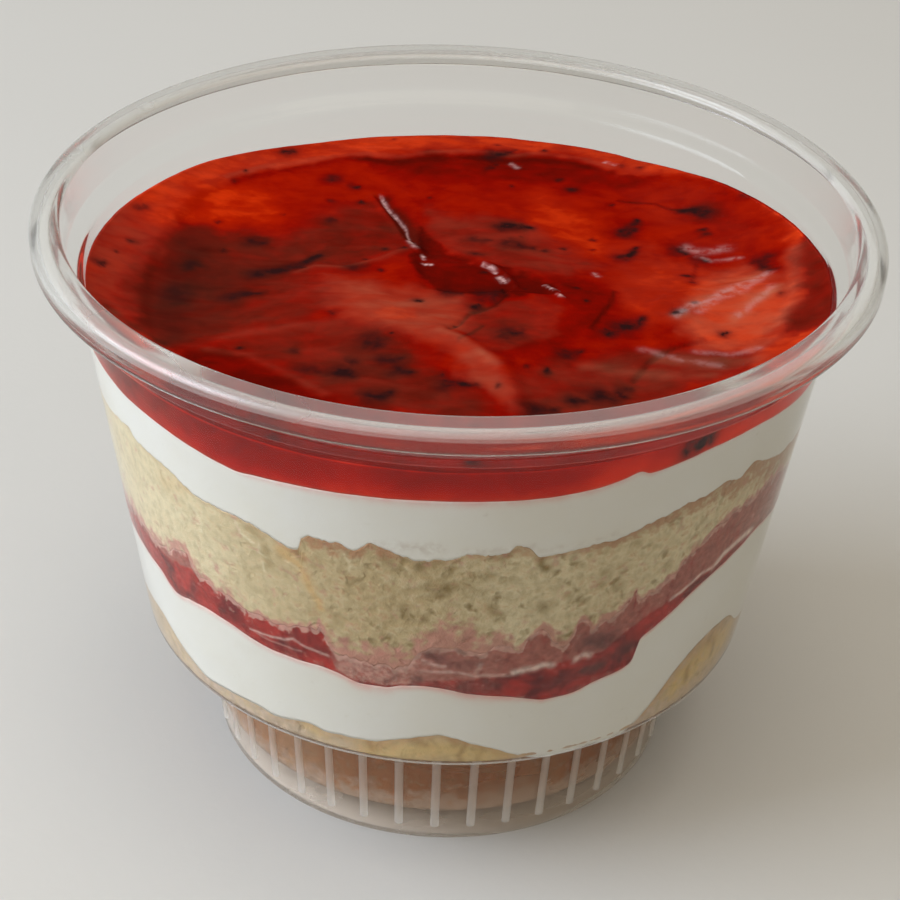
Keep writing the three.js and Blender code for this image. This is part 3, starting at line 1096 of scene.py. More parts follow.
def finish_tree(w: Wiring, leave: Node, geometry: Any, finish: Material) -> None:
    """End a geometry tree: realize the instances, smooth the faces and set the material."""
    whole = w.add("GeometryNodeRealizeInstances", {"Geometry": geometry})
    smoothed = w.add("GeometryNodeSetShadeSmooth", {"Geometry": whole.outputs[0]})
    dressed = w.add("GeometryNodeSetMaterial", {"Geometry": smoothed.outputs[0], "Material": finish})
    w.feed(leave.inputs[0], dressed.outputs[0])


class PotZone(IntEnum):
    """The pot's material slots, by part."""

    BODY = 0
    COLLAR = 1
    RIM = 2
    SKIRT = 3
    FOOT = 4
    CORNER = 5


@dataclass
class Pot:
    """The clear pot: a turned shell, and the ribs on its foot."""

    sizes: PotSizes
    sides: int = 480
    ribs: int = 42
    rib_width: float = 1.0
    rib_depth: float = 0.35
    rib_low: float = 1.0
    rib_flare: float = 2.0
    rib_sides: int = 10
    rib_step: float = 2.0
    rib_slack: Pair = (0.02, 0.1)
    wall_margin: float = 0.4
    ledge_margin: float = 0.2
    lip_margin: float = 0.5
    ring_reach: float = 3.0
    corner_reach: float = 1.0
    outer_step: float = 3.0
    inner_step: float = 3.5

    def zone(self, radius: Array, z: Array) -> Array:
        """The material slot of each stretch of the profile, by its middle."""
        pot = self.sizes
        plate = pot.height - pot.wall - self.wall_margin
        ledge = pot.ledge_height - self.ledge_margin
        zone = np.full(len(z), PotZone.BODY)
        zone[z > pot.step_height - self.wall_margin] = PotZone.COLLAR
        lip = radius > pot.rim_radius - pot.lip_wall - self.lip_margin
        zone[(z < plate) & lip] = PotZone.SKIRT
        zone[z > plate] = PotZone.RIM
        zone[(z < ledge) & (radius > pot.foot_radius - self.ring_reach)] = PotZone.FOOT
        corner = (z > ledge) & (z < pot.ledge_height + self.corner_reach)
        zone[corner & (radius > pot.foot_top_radius + self.corner_reach)] = PotZone.CORNER
        return zone

    def shell(self, finishes: Finishes) -> Object:
        """Turn the shell."""
        outside = rounded(self.sizes.outside() + self.sizes.inside()[:1])[:-1]
        inside = rounded(self.sizes.outside()[-1:] + self.sizes.inside())[1:]
        profile = np.concatenate([spaced(outside, self.outer_step), spaced(inside, self.inner_step)])[1:-1]
        bearings = np.arange(self.sides) * FULL_TURN / self.sides
        rings = around(profile[:, :1], bearings, profile[:, 1:])
        middles = (profile[1:] + profile[:-1]) / 2
        shell = mesh_of_rings("pot_shell", rings, {}, finishes, self.zone(middles[:, 0], middles[:, 1]))
        settle(shell, Slot.PLASTIC, "cup")
        return shell

    def rib_route(self) -> Array:
        """The line that one rib follows up the foot and out under the ledge."""
        line = spaced(rounded(self.sizes.outside()), self.rib_step)
        inward, upward = self.rib_slack
        beside = (line[:, 0] > self.sizes.foot_radius - inward) & (line[:, 1] > self.rib_low)
        under = line[:, 0] < self.sizes.foot_top_radius + self.rib_flare
        return line[beside & under & (line[:, 1] < self.sizes.ledge_height + upward)]

    def rib_tree(self, finish: Material) -> NodeTree:
        """Build the tree that turns one rib's route into all the ribs.

        Args:
            finish: The material that the ribs get.

        Returns:
            The geometry tree.
        """
        takes = {"Geometry": "Geometry", "Ribs": "Int", "Width": "Float", "Depth": "Float"}
        w, given, leave = start_tree("foot_ribs", "GeometryNodeTree", takes, {"Geometry": "Geometry"})
        route = w.add("GeometryNodeMeshToCurve", {"Mesh": given["Geometry"]}).outputs[0]
        route = w.add("GeometryNodeSetCurveNormal", {"Curve": route}, mode="Z_UP").outputs[0]
        round_line = {"Resolution": self.rib_sides, "Radius": 0.5}
        ring = w.add("GeometryNodeCurvePrimitiveCircle", round_line).outputs[0]
        section = w.add("ShaderNodeCombineXYZ", {"X": given["Width"], "Y": given["Depth"], "Z": 1.0})
        ring = w.add("GeometryNodeTransform", {"Geometry": ring, "Scale": section.outputs[0]}).outputs[0]
        rib = w.add("GeometryNodeCurveToMesh", {"Curve": route, "Profile Curve": ring, "Fill Caps": True})
        middle = w.add("GeometryNodePoints", {"Count": given["Ribs"]}).outputs[0]
        turn = w.reckon("DIVIDE", 2 * math.pi, given["Ribs"])
        index = w.add("GeometryNodeInputIndex").outputs[0]
        spin = w.add("ShaderNodeCombineXYZ", {"Z": w.times(index, turn)}).outputs[0]
        feeds = {"Points": middle, "Instance": rib.outputs[0], "Rotation": spin}
        finish_tree(w, leave, w.add("GeometryNodeInstanceOnPoints", feeds).outputs[0], finish)
        return w.tree

    def rib_ring(self, finish: Material) -> Object:
        """Mould the ribs onto the foot."""
        route = self.rib_route()
        points = around(route[:, 0], 0.0, route[:, 1]) * MM
        mesh = bpy.data.meshes.new("foot_ribs")
        mesh.from_pydata(points.tolist(), [(i, i + 1) for i in range(len(points) - 1)], [])
        ribs = placed("foot_ribs", mesh)
        values = {"Ribs": self.ribs, "Width": self.rib_width * MM, "Depth": 2 * self.rib_depth * MM}
        grow(ribs, self.rib_tree(finish), values)
        settle(ribs, Slot.PLASTIC)
        return ribs

    def build(self, zones: Finishes, rib: Material) -> None:
        """Turn the shell and mould its ribs."""
        self.shell(zones)
        self.rib_ring(rib)


@dataclass
class Layer:
    """One layer of food: closed, pressed just into the wall, with its own relief there."""

    title: str
    node: str
    slot: Slot
    low: EdgeLine
    high: EdgeLine
    rows: int = 24
    sides: int = 1080
    bite: float = 0.38
    flush_share: float = 0.06
    reaches: tuple[float, ...] = (0.5, 0.85, 0.97)

    def bearings(self) -> Array:
        """Bearings of the mesh's sides."""
        return np.arange(self.sides) * FULL_TURN / self.sides - FULL_TURN / 2

    def net(self, line: EdgeLine, reach: float) -> Array:
        """A ring of the underside or the top."""
        bearings = self.bearings()
        z = line.inside(bearings, reach)
        return around(reach * (POT.bore(z) + self.bite), bearings, z)

    def relief(self, points: Array) -> Array:
        """How far each point of the side lies back from the wall."""
        return np.zeros(points.shape[:-1])

    def side(self) -> Array:
        """Rings up the side, from the lower line to the upper."""
        bearings = self.bearings()
        low, high = self.low.at(bearings), self.high.at(bearings)
        share = np.linspace(0, 1, self.rows + 1)[:, None]
        z = low + (high - low) * share
        flush = around(POT.bore(z) + self.bite, bearings, z)
        ease = smooth(0, self.flush_share, share) * smooth(1, 1 - self.flush_share, share)
        return around(POT.bore(z) + self.bite - ease * self.relief(flush), bearings, z)

    def over(self) -> list[Array]:
        """Rings of the top, from the wall to its middle."""
        return [self.net(self.high, reach) for reach in reversed(self.reaches)]

    def rings(self) -> Array:
        """All rings, from the underside's middle to the top's."""
        under = [self.net(self.low, reach) for reach in self.reaches]
        return np.concatenate([under, self.side(), self.over()])

    def wide(self, rings: Array) -> Array:
        """Each point's bearing."""
        return np.broadcast_to(self.bearings(), rings.shape[:2])

    def below_top(self, rings: Array) -> Array:
        """How far each point lies below the upper line."""
        return self.high.at(self.bearings()) - rings[..., 2]

    def above_base(self, rings: Array) -> Array:
        """How far each point lies above the lower line."""
        return rings[..., 2] - self.low.at(self.bearings())

    def fields(self, rings: Array) -> Fields:
        """Values that the finish reads."""
        return {}

    def zones(self) -> Array | None:
        """For each band between two rings, its material's number, where there are several."""
        return None

    def build(self, *finishes: Material) -> Object:
        """Make the layer's piece."""
        rings = self.rings()
        piece = mesh_of_rings(self.title, rings, self.fields(rings), finishes, self.zones())
        settle(piece, self.slot, self.node)
        return piece


@dataclass
class CreamLayer(Layer):
    """Cream, which the red above it stains down to a depth that differs round the wall."""

    soak_depth: Course = Course(0.4)
    soak_share: float = 0.6
    least_depth: float = 0.05
    loose: Wander = Wander(1, 4, 45, 0.3)
    dust: Strokes = drawn(
        (0.7, 0.55, (-9.5, 50, -5, 50.6, -1, 50.4)), (0.4, 0.4, (3, 50.2, 12.5, 50.7)),
        (0.35, 0.3, (13.5, 50, 26, 50.6)), (0.2, 0.6, (5.1, 55.2, 5.2, 55.1)),
    )

    def fields(self, rings: Array) -> Fields:
        """The stain, strongest along the top, and loose crumbs."""
        depth = np.maximum(self.soak_depth.at(self.bearings()), self.least_depth)
        share = np.maximum(self.below_top(rings), 0) / depth
        return {
            "soak": self.soak_share * np.exp(-share * share),
            "dust": marked(self.dust, self.wide(rings), rings[..., 2] + self.loose.at(rings)),
        }


@dataclass
class JamLayer(Layer):
    """Jam: clear and red below its seam, milky with soaked crumb above it."""

    seam: Course = JAM_SEAM
    seam_width: float = 0.35
    wander: Wander = Wander(1.8, 4, 27)
    line_share: float = 0.3
    mark_share: float = 0.25
    grain_shares: Pair = (1.2, 0.4)
    grain_rise: float = 0.5
    base_soak: float = 0.3
    base_reach: Pair = (0.7, 0.1)
    crumb_depth: float = 1.3
    grain: Course = Course(0, (-18.6, 0, -15.8, 0.9, -6.5, 0.9, -1, 0.3, 8, 0.2, 12, 0))
    # Painted highlights: thin pale threads along the jam's seams.
    thread_highlights: Strokes = drawn(
        (0.15, 0.5, (-32.6, 33.4, -29, 33.7, -26, 33.9, -24.5, 34.3, -22.6, 33.9, -18.2, 33.4)),
        (0.14, 0.2, (-32.6, 33.3, -29, 33.1, -23, 33)), (0.2, 0.4, (-2.9, 34.9, -1.6, 34.5, 0.6, 34.3)),
        (0.2, 0.4, (-3, 33.4, 1.5, 33.5, 5, 33, 10.8, 32.8)), (0.25, 0.3, (6.2, 34.6, 5.6, 33.4)),
        (0.38, 0.9, (11.6, 33.2, 14, 33.4, 16.2, 33.6, 18, 33.3)),
        (0.4, 0.7, (21.8, 33.6, 23, 34.1, 24.3, 33.8)),
        (0.2, 0.8, (38.5, 38.3, 40.8, 38.9, 44.8, 40, 47.6, 39.8)),
        (0.4, 0.9, (47.6, 39.9, 50, 41, 53.5, 41.3, 58, 41.2)),
    )
    pockets: Strokes = drawn(
        (0.75, 0.7, (-2.4, 36, 0.2, 35.4)), (0.8, 0.45, (1.4, 34.6, 5.6, 34.9)),
        (0.6, 0.4, (3, 36.6, 3.4, 36.2)), (1.3, 0.8, (23.6, 36.3, 27.2, 35.4)),
        (1.3, 0.4, (19, 30.6, 26, 32.2, 31, 33.6)), (0.8, 0.85, (23.6, 31.6, 26.8, 31.9)),
        (0.35, 0.5, (-8.9, 31.2, -7, 32.4)), (0.5, 0.7, (-4, 32.1, -3.2, 32.3)),
        (0.35, 0.5, (42, 38.4, 46.6, 39.2, 51.5, 39.8)),
    )

    def fields(self, rings: Array) -> Fields:
        """The soaked share, the pale threads of painted highlight and the dark pockets."""
        bearings = self.wide(rings)
        wander = self.wander.at(rings)
        line, mark = self.line_share * wander, rings[..., 2] + self.mark_share * wander
        along, across = self.grain_shares
        over_seam = seen_height(rings[..., 2]) - self.seam.at(self.bearings())
        soak = smooth(-self.seam_width, self.seam_width, over_seam + line)
        edge = smooth(*self.base_reach, self.above_base(rings) + line)
        grain = self.grain.at(bearings + along * wander)
        return {
            "soak": np.clip(soak + self.base_soak * edge, 0, 1),
            "crumbs": smooth(self.crumb_depth, 0, self.below_top(rings) + line),
            "grain": grain * smooth(0, self.grain_rise, self.above_base(rings) + across * wander),
            "thread": marked(self.thread_highlights, bearings, mark),
            "pocket": marked(self.pockets, bearings, mark),
        }


@dataclass
class Sponge(Layer):
    """A sponge layer, whose side is open crumb: pits, torn flakes and smoother smeared stretches."""

    pit_pitch: float = 1.9
    pit_depth: float = 0.22
    pit_kinds: tuple[Pair, ...] = ((1.5, 0.9), (0.8, 0.6))
    pit_least: float = 0.18
    pit_spread: float = 0.3
    pit_rarity: float = 0.35
    pit_edge: Pair = (1, 0.2)
    pit_seed: int = 5
    flakes: Wander = Wander(1.6, 3, 12)
    flake_share: float = 0.1
    smeared_relief: float = 0.03
    flake_relief: float = 0.14
    least_depth: float = 0.1
    drift: Wander = Wander(4, 3, 45, 2.5)
    wander: Wander = Wander(1.4, 4, 65)
    crust_wander: float = 0.35
    soak_wander: float = 0.5
    mark_shares: Pair = (0.5, 0.25)
    crust_fade: Pair = (1.9, 0.1)
    soak_fade: Pair = (1.9, 0)
    open_most: float = 0.9
    pit_most: float = 0.6
    openness: Course = Course(0.5, (
        -70, 0, -32, 0.05, -21, 0.2, -15, 0.55, 0, 1, 25, 0.9, 60, 0.5, 140, 0.7, -110, 0.5,
    ))
    paleness: Course = Course(0.6, (
        -66, 0.8, -45, 0.8, -30, 0.4, -20, 0.22, -5, 0.12, 5, 0.45, 13, 0.8, 25, 0.6, 38, 0.85, 66, 0.8,
        120, 0.5, -120, 0.6,
    ))
    crust_depth: Course = Course(0.6, (
        -66, 0.4, -30, 0.5, -22, 0.4, -20, 1.1, -14, 1.3, -9, 1.4, -5, 0.5, 8, 0.6, 11, 1.2, 15, 0.4,
        24, 0.8, 34, 1.1, 42, 1.7, 52, 2.9, 66, 3.4, 120, 1.5, -120, 1,
    ))
    crust_share: Course = Course(0.6, (
        -66, 0.2, -30, 0.3, -22, 0.4, -20, 0.75, -9, 0.75, -5, 0.35, 0, 0.3, 10, 0.6, 16, 0.35, 24, 0.7,
        60, 0.75, 120, 0.7,
    ))
    soak_height: Course = Course(0.5, (
        -66, 1.2, -50, 1, -45, 1.4, -42, 0.7, -30, 0.4, -21, 0.5, -17, 2.2, -10, 2.6, -3, 2.2, 2, 3.2,
        6, 2.6, 10, 1.8, 14, 0.5, 18, 1.6, 22, 0.7, 30, 0.9, 36, 0.5, 66, 0.4,
    ), ragged=0.4, pitch=1.8, seed=83)
    soak_share: float = 0.8
    stains: Strokes = drawn(
        (1.1, 0.55, (-56, 38, -50, 38.9, -46.2, 39.9)), (0.8, 0.45, (-39.6, 40.2, -38, 38.8, -35.6, 37.2)),
        (0.4, 0.35, (-16.5, 38.8, -14.6, 38.6)), (0.9, 0.3, (-3, 39, 1.5, 40.6)),
        (0.8, 0.5, (29.6, 41, 31.4, 41.9)),
    )
    creases: Strokes = drawn(
        (0.75, 0.75, 0.4, (-24.8, 46.6, -22, 45.2, -20.2, 42.6, -19, 40)),
        (0.6, 0.7, (-24.5, 46.9, -21.4, 46.7)), (1.1, 0.25, (-48, 48.2, -43, 49.2)),
    )
    # Painted highlights on the edges of torn flakes.
    flake_highlights: Strokes = drawn(
        (0.16, 0.8, (-32.6, 48.2, -31.9, 46.9, -29.7, 46.3)),
        (0.14, 0.9, (-28.7, 46.4, -28.9, 45.3, -27.6, 44.9)), (0.14, 0.7, (-28.5, 44.2, -28.2, 42.8)),
        (0.16, 0.7, (-24.4, 45.4, -22.6, 45, -21.6, 44.3)),
        (0.16, 0.7, (-41.2, 46.9, -40.1, 45.6, -40.6, 44.3)),
        (0.18, 0.5, (-47.6, 43.6, -45, 45, -43.6, 45.3)),
        (0.16, 0.8, (-40.4, 40.1, -39.3, 40.5, -38, 40.2)),
        (0.18, 0.6, (-14.8, 48.4, -13.8, 47, -14.2, 46)),
    )
    # Painted shade in hollows of the crumb.
    hollow_shade: Strokes = drawn(
        (0.6, 0.5, (-27.7, 46.1, -27.3, 44)), (0.5, 0.45, (-30.6, 48, -28.2, 47.4)),
        (0.45, 0.9, (-22.4, 47.1, -21.3, 46.4)), (1, 0.6, (-2, 45.3, 0.2, 44.8)),
        (0.8, 0.35, (-3.4, 48, -1, 48.3)), (0.9, 0.4, (2.4, 45.7, 4.4, 45.2)),
        (0.6, 0.7, (6.8, 42.7, 8.4, 41.6)), (0.5, 1, (14, 48.8, 14.6, 47.5)),
        (0.9, 0.45, (14.4, 42.3, 16, 41.9)), (0.4, 0.6, (-6, 41.1, -4.6, 40.9)),
        (0.45, 0.5, (-11.4, 37, -10.8, 36.8)), (0.5, 0.4, (-9.4, 48.8, -6.4, 47.2)),
        (0.45, 0.45, (24, 45.6, 24.8, 45)),
    )

    def bearing_of(self, points: Array) -> Array:
        """The bearing of each place, wandering a little so that no border runs straight."""
        bearings = np.degrees(np.arctan2(points[..., 0], -points[..., 1]))
        return bearings + self.drift.at(points)

    def pits(self, points: Array) -> Array:
        """How open the crumb is at each place, from 0 to 1."""
        total = np.zeros(points.shape[:-1])
        for scale, strength in self.pit_kinds:
            away, number = cell_centres(points, self.pit_pitch * scale, self.pit_seed)
            pit = smooth(*self.pit_edge, away / (self.pit_least + self.pit_spread * number))
            total = np.maximum(total, strength * pit * (number > self.pit_rarity))
        return total * self.openness.at(self.bearing_of(points))

    def relief(self, points: Array) -> Array:
        """Pits and flakes, shallower where the crumb is smeared."""
        lumps = np.maximum(0, self.flakes.at(points) + self.flake_share)
        rough = self.smeared_relief + self.flake_relief * self.openness.at(self.bearing_of(points))
        return self.pit_depth * self.pits(points) + rough * lumps

    def fields(self, rings: Array) -> Fields:
        """The pits and hollows with painted shade, painted highlights on torn flakes, crust, creases and
        stain.
        """
        wide = self.wide(rings)
        wander = self.wander.at(rings)
        crust = np.maximum(self.crust_depth.at(wide), self.least_depth)
        soak = np.maximum(self.soak_height.at(wide), self.least_depth)
        down = (np.maximum(self.below_top(rings), 0) + self.crust_wander * wander) / crust
        up = (np.maximum(self.above_base(rings), 0) + self.soak_wander * wander) / soak
        along, across = self.mark_shares
        spot, z = wide + along * wander, rings[..., 2] + across * wander
        stain = marked(self.stains, spot, z)
        return {
            # Paler crumb, with painted highlights on torn flake edges.
            "pale": self.paleness.at(spot) + marked(self.flake_highlights, wide, rings[..., 2]),
            "open": self.open_most * self.openness.at(spot),
            # Painted shade in the pits and hollows.
            "pit": np.clip(self.pit_most * self.pits(rings) + marked(self.hollow_shade, spot, z), 0, 1),
            "crust": smooth(*self.crust_fade, down),
            "browned": self.crust_share.at(spot),
            "golden": marked(self.creases, spot, z),
            "soak": np.maximum(smooth(*self.soak_fade, up), stain),
            "stained": np.full(rings.shape[:2], self.soak_share),
        }


@dataclass
class BaseSponge(Sponge):
    """The bottom sponge, which fills the foot and lies on the ledge."""

    haze_share: Course = Course(0.4, (
        -66, 0.15, -56, 0.35, -46, 0.75, -34, 0.65, -24, 0.35, -12, 0.15, 0, 0, 10, 0.1, 15, 0.7, 38, 0.8,
        46, 0.45, 66, 0.45,
    ))
    brown_share: Course = Course(0.8, (
        -75, 0.5, -45, 0.7, -36, 0.4, -24, 0.8, 0, 1, 16, 1, 25, 0.6, 34, 1, 52, 1, 64, 0.5, 120, 0.8,
    ))
    slow: Wander = Wander(5, 4, 95)
    slow_shares: Pair = (2, 0.3)
    foot_edge: Pair = (0.2, -0.8)
    dry_from: float = 7.4
    dry_edge: Pair = (2.2, -2.6)
    corner_glow: Pair = (4.4, 0.4)
    corner_haze: Pair = (0.2, 0.6)
    pale_swing: Pair = (0.5, 0.6)
    brown_swing: Pair = (0.35, 0.65)
    relief_from: Pair = (20, 24)
    contour_step: float = 1.2
    corner_gap: float = 0.7
    least_rise: float = 0.1
    mound: Strokes = drawn(
        (1.9, 0.85, (-11, 20.4, -6, 21, 0, 21.6, 6, 21, 12, 20.2)), (0.6, 0.5, (-24, 21.6, -19, 21)),
        (2.6, 1.1, (47, 23.6, 54, 25, 61, 24.2)),
    )
    # Painted shade in clefts of the crumb.
    cleft_shade: Strokes = drawn(
        (0.5, 0.45, (-10.6, 21.8, -10, 20.6)), (0.4, 0.35, (-8.6, 22.4, -8.9, 20.8)),
        (0.7, 0.5, (-3.4, 22.9, -2.6, 22.3)), (0.4, 0.3, (-1, 23.2, -0.8, 21.8)),
        (0.7, 0.45, (2.4, 23.2, 2.6, 22.4)), (0.5, 0.5, (4.4, 22.4, 3.6, 20.6, 4.2, 19.4)),
        (0.5, 0.3, (7.6, 21.6, 7, 19.8)), (0.5, 0.6, (48.4, 24.6, 49.4, 22.6)),
        (0.6, 0.5, (53, 26.4, 55, 25.2, 56, 23.4)), (0.9, 0.55, (24, 8.6, 29, 10.2, 34, 11.6)),
        (1.3, 0.75, (35, 8.6, 41, 8.2)), (1.1, 0.65, (45, 8.4, 51, 8.2)),
        (0.7, 0.3, (-22, 7.6, -14, 8.6, -4, 7.4)), (0.9, 0.3, (4, 9.4, 12, 8)),
    )

    def contour(self) -> Array:
        """The inner line of the pot from the floor's middle to the ledge's outer corner."""
        inner = spaced(rounded(POT.inside()), self.contour_step)[::-1]
        corner = np.argmax(inner[:, 1] > POT.ledge_height + POT.ledge_wall + self.corner_gap)
        return inner[1:corner]

    def rings(self) -> Array:
        """Rings along the floor, up the foot, over the ledge and up to the line at the wall."""
        bearings = self.bearings()
        contour = self.contour()
        reach = 1 + self.bite / contour[:, :1]
        flush = around(contour[:, :1] * reach, bearings, contour[:, 1:] - self.bite / 2)
        back = self.relief(flush) * smooth(*self.relief_from, contour[:, :1])
        bottom = around(contour[:, :1] * reach - back, bearings, contour[:, 1:] - self.bite / 2)
        top = np.maximum(self.high.at(bearings), contour[-1, 1] + self.least_rise)
        share = np.linspace(0, 1, self.rows + 1)[1:, None]
        z = contour[-1, 1] + (top - contour[-1, 1]) * share
        wall = around(POT.bore(z) + self.bite, bearings, z)
        wall = around(POT.bore(z) + self.bite - self.relief(wall), bearings, z)
        return np.concatenate([bottom, wall, self.over()])

    def fields(self, rings: Array) -> Fields:
        """The golden crumb on the ledge, the crust in the foot, and a haze low down and at the corner."""
        fields = super().fields(rings)
        wander, height = self.slow.at(rings), rings[..., 2]
        along, across = self.slow_shares
        spot, z = self.wide(rings) + along * wander, height + across * wander
        foot = smooth(*(POT.ledge_height + step for step in self.foot_edge), height)
        haze = smooth(*(self.dry_from + step for step in self.dry_edge), height + along * wander)
        near_corner = smooth(*self.corner_glow, height - POT.ledge_height)
        fields["pale"] = self.pale_swing[0] + self.pale_swing[1] * wander
        fields["crust"] = np.maximum(fields["crust"] * (1 - foot), foot)
        fields["browned"] = self.brown_share.at(spot) * (self.brown_swing[0] + self.brown_swing[1] * foot)
        fields["golden"] = marked(self.mound, spot, z) * (1 - foot)
        # Painted shade in the clefts.
        fields["pit"] = np.clip(marked(self.cleft_shade, spot, z), 0, 1)
        corner = self.corner_haze[0] + self.corner_haze[1] * near_corner
        fields["soak"] = np.where(foot > 0.5, haze, corner)
        fields["stained"] = np.where(foot > 0.5, 1, self.haze_share.at(spot))
        return fields


@dataclass(frozen=True)
class Region:
    """A part of the jelly within an outline, with its own tone and its share of milky film and painted
    sheen, and raised or sunk.
    """

    outline: tuple[Pair, ...]
    tone: float
    film: float = 0.0
    edge: float = 1.5
    rise: float = 0.0

    def mask(self, x: Array, y: Array) -> Array:
        """How far each place belongs to the region, from 0 outside its soft edge to 1 inside."""
        within = np.zeros(np.shape(x), dtype=bool)
        nearest = np.full(np.shape(x), np.inf)
        places = np.array(self.outline)
        for a, b in zip(places, np.roll(places, -1, axis=0)):
            dx, dy = b - a
            crossing = (a[1] > y) != (b[1] > y)
            if dy:
                within ^= crossing & (x < a[0] + (y - a[1]) * dx / dy)
            nearest = np.minimum(nearest, off_line(a, b, x, y)[0])
        return smooth(-self.edge, self.edge, np.where(within, nearest, -nearest))


@dataclass(frozen=True)
class Fleck:
    """A bit of berry: a round head and a bent tail."""

    x: float
    y: float
    size: float
    turn: float = 0.0
    tail: float = 1.0
    bend: float = 30.0
    depth: float = 0.5
    steps: int = 3
    head: float = 0.4
    width: float = 0.55
    fading: Pair = (1.2, 0.5)
    taper: float = 0.6

    def stroke(self, spread: float = 1.0) -> Stroke:
        """The soft dark mark that the bit makes from within the jelly, or a wider one round it."""
        points = [(self.x, self.y)]
        heading = math.radians(self.turn)
        step = (self.tail - self.head) * self.size / self.steps
        for _ in range(self.steps):
            x, y = points[-1]
            points.append((x + step * math.cos(heading), y + step * math.sin(heading)))
            heading += math.radians(self.bend)
        strength = self.fading[0] - self.fading[1] * self.depth
        return Stroke(tuple(points), self.width * self.size * spread, strength, self.taper)


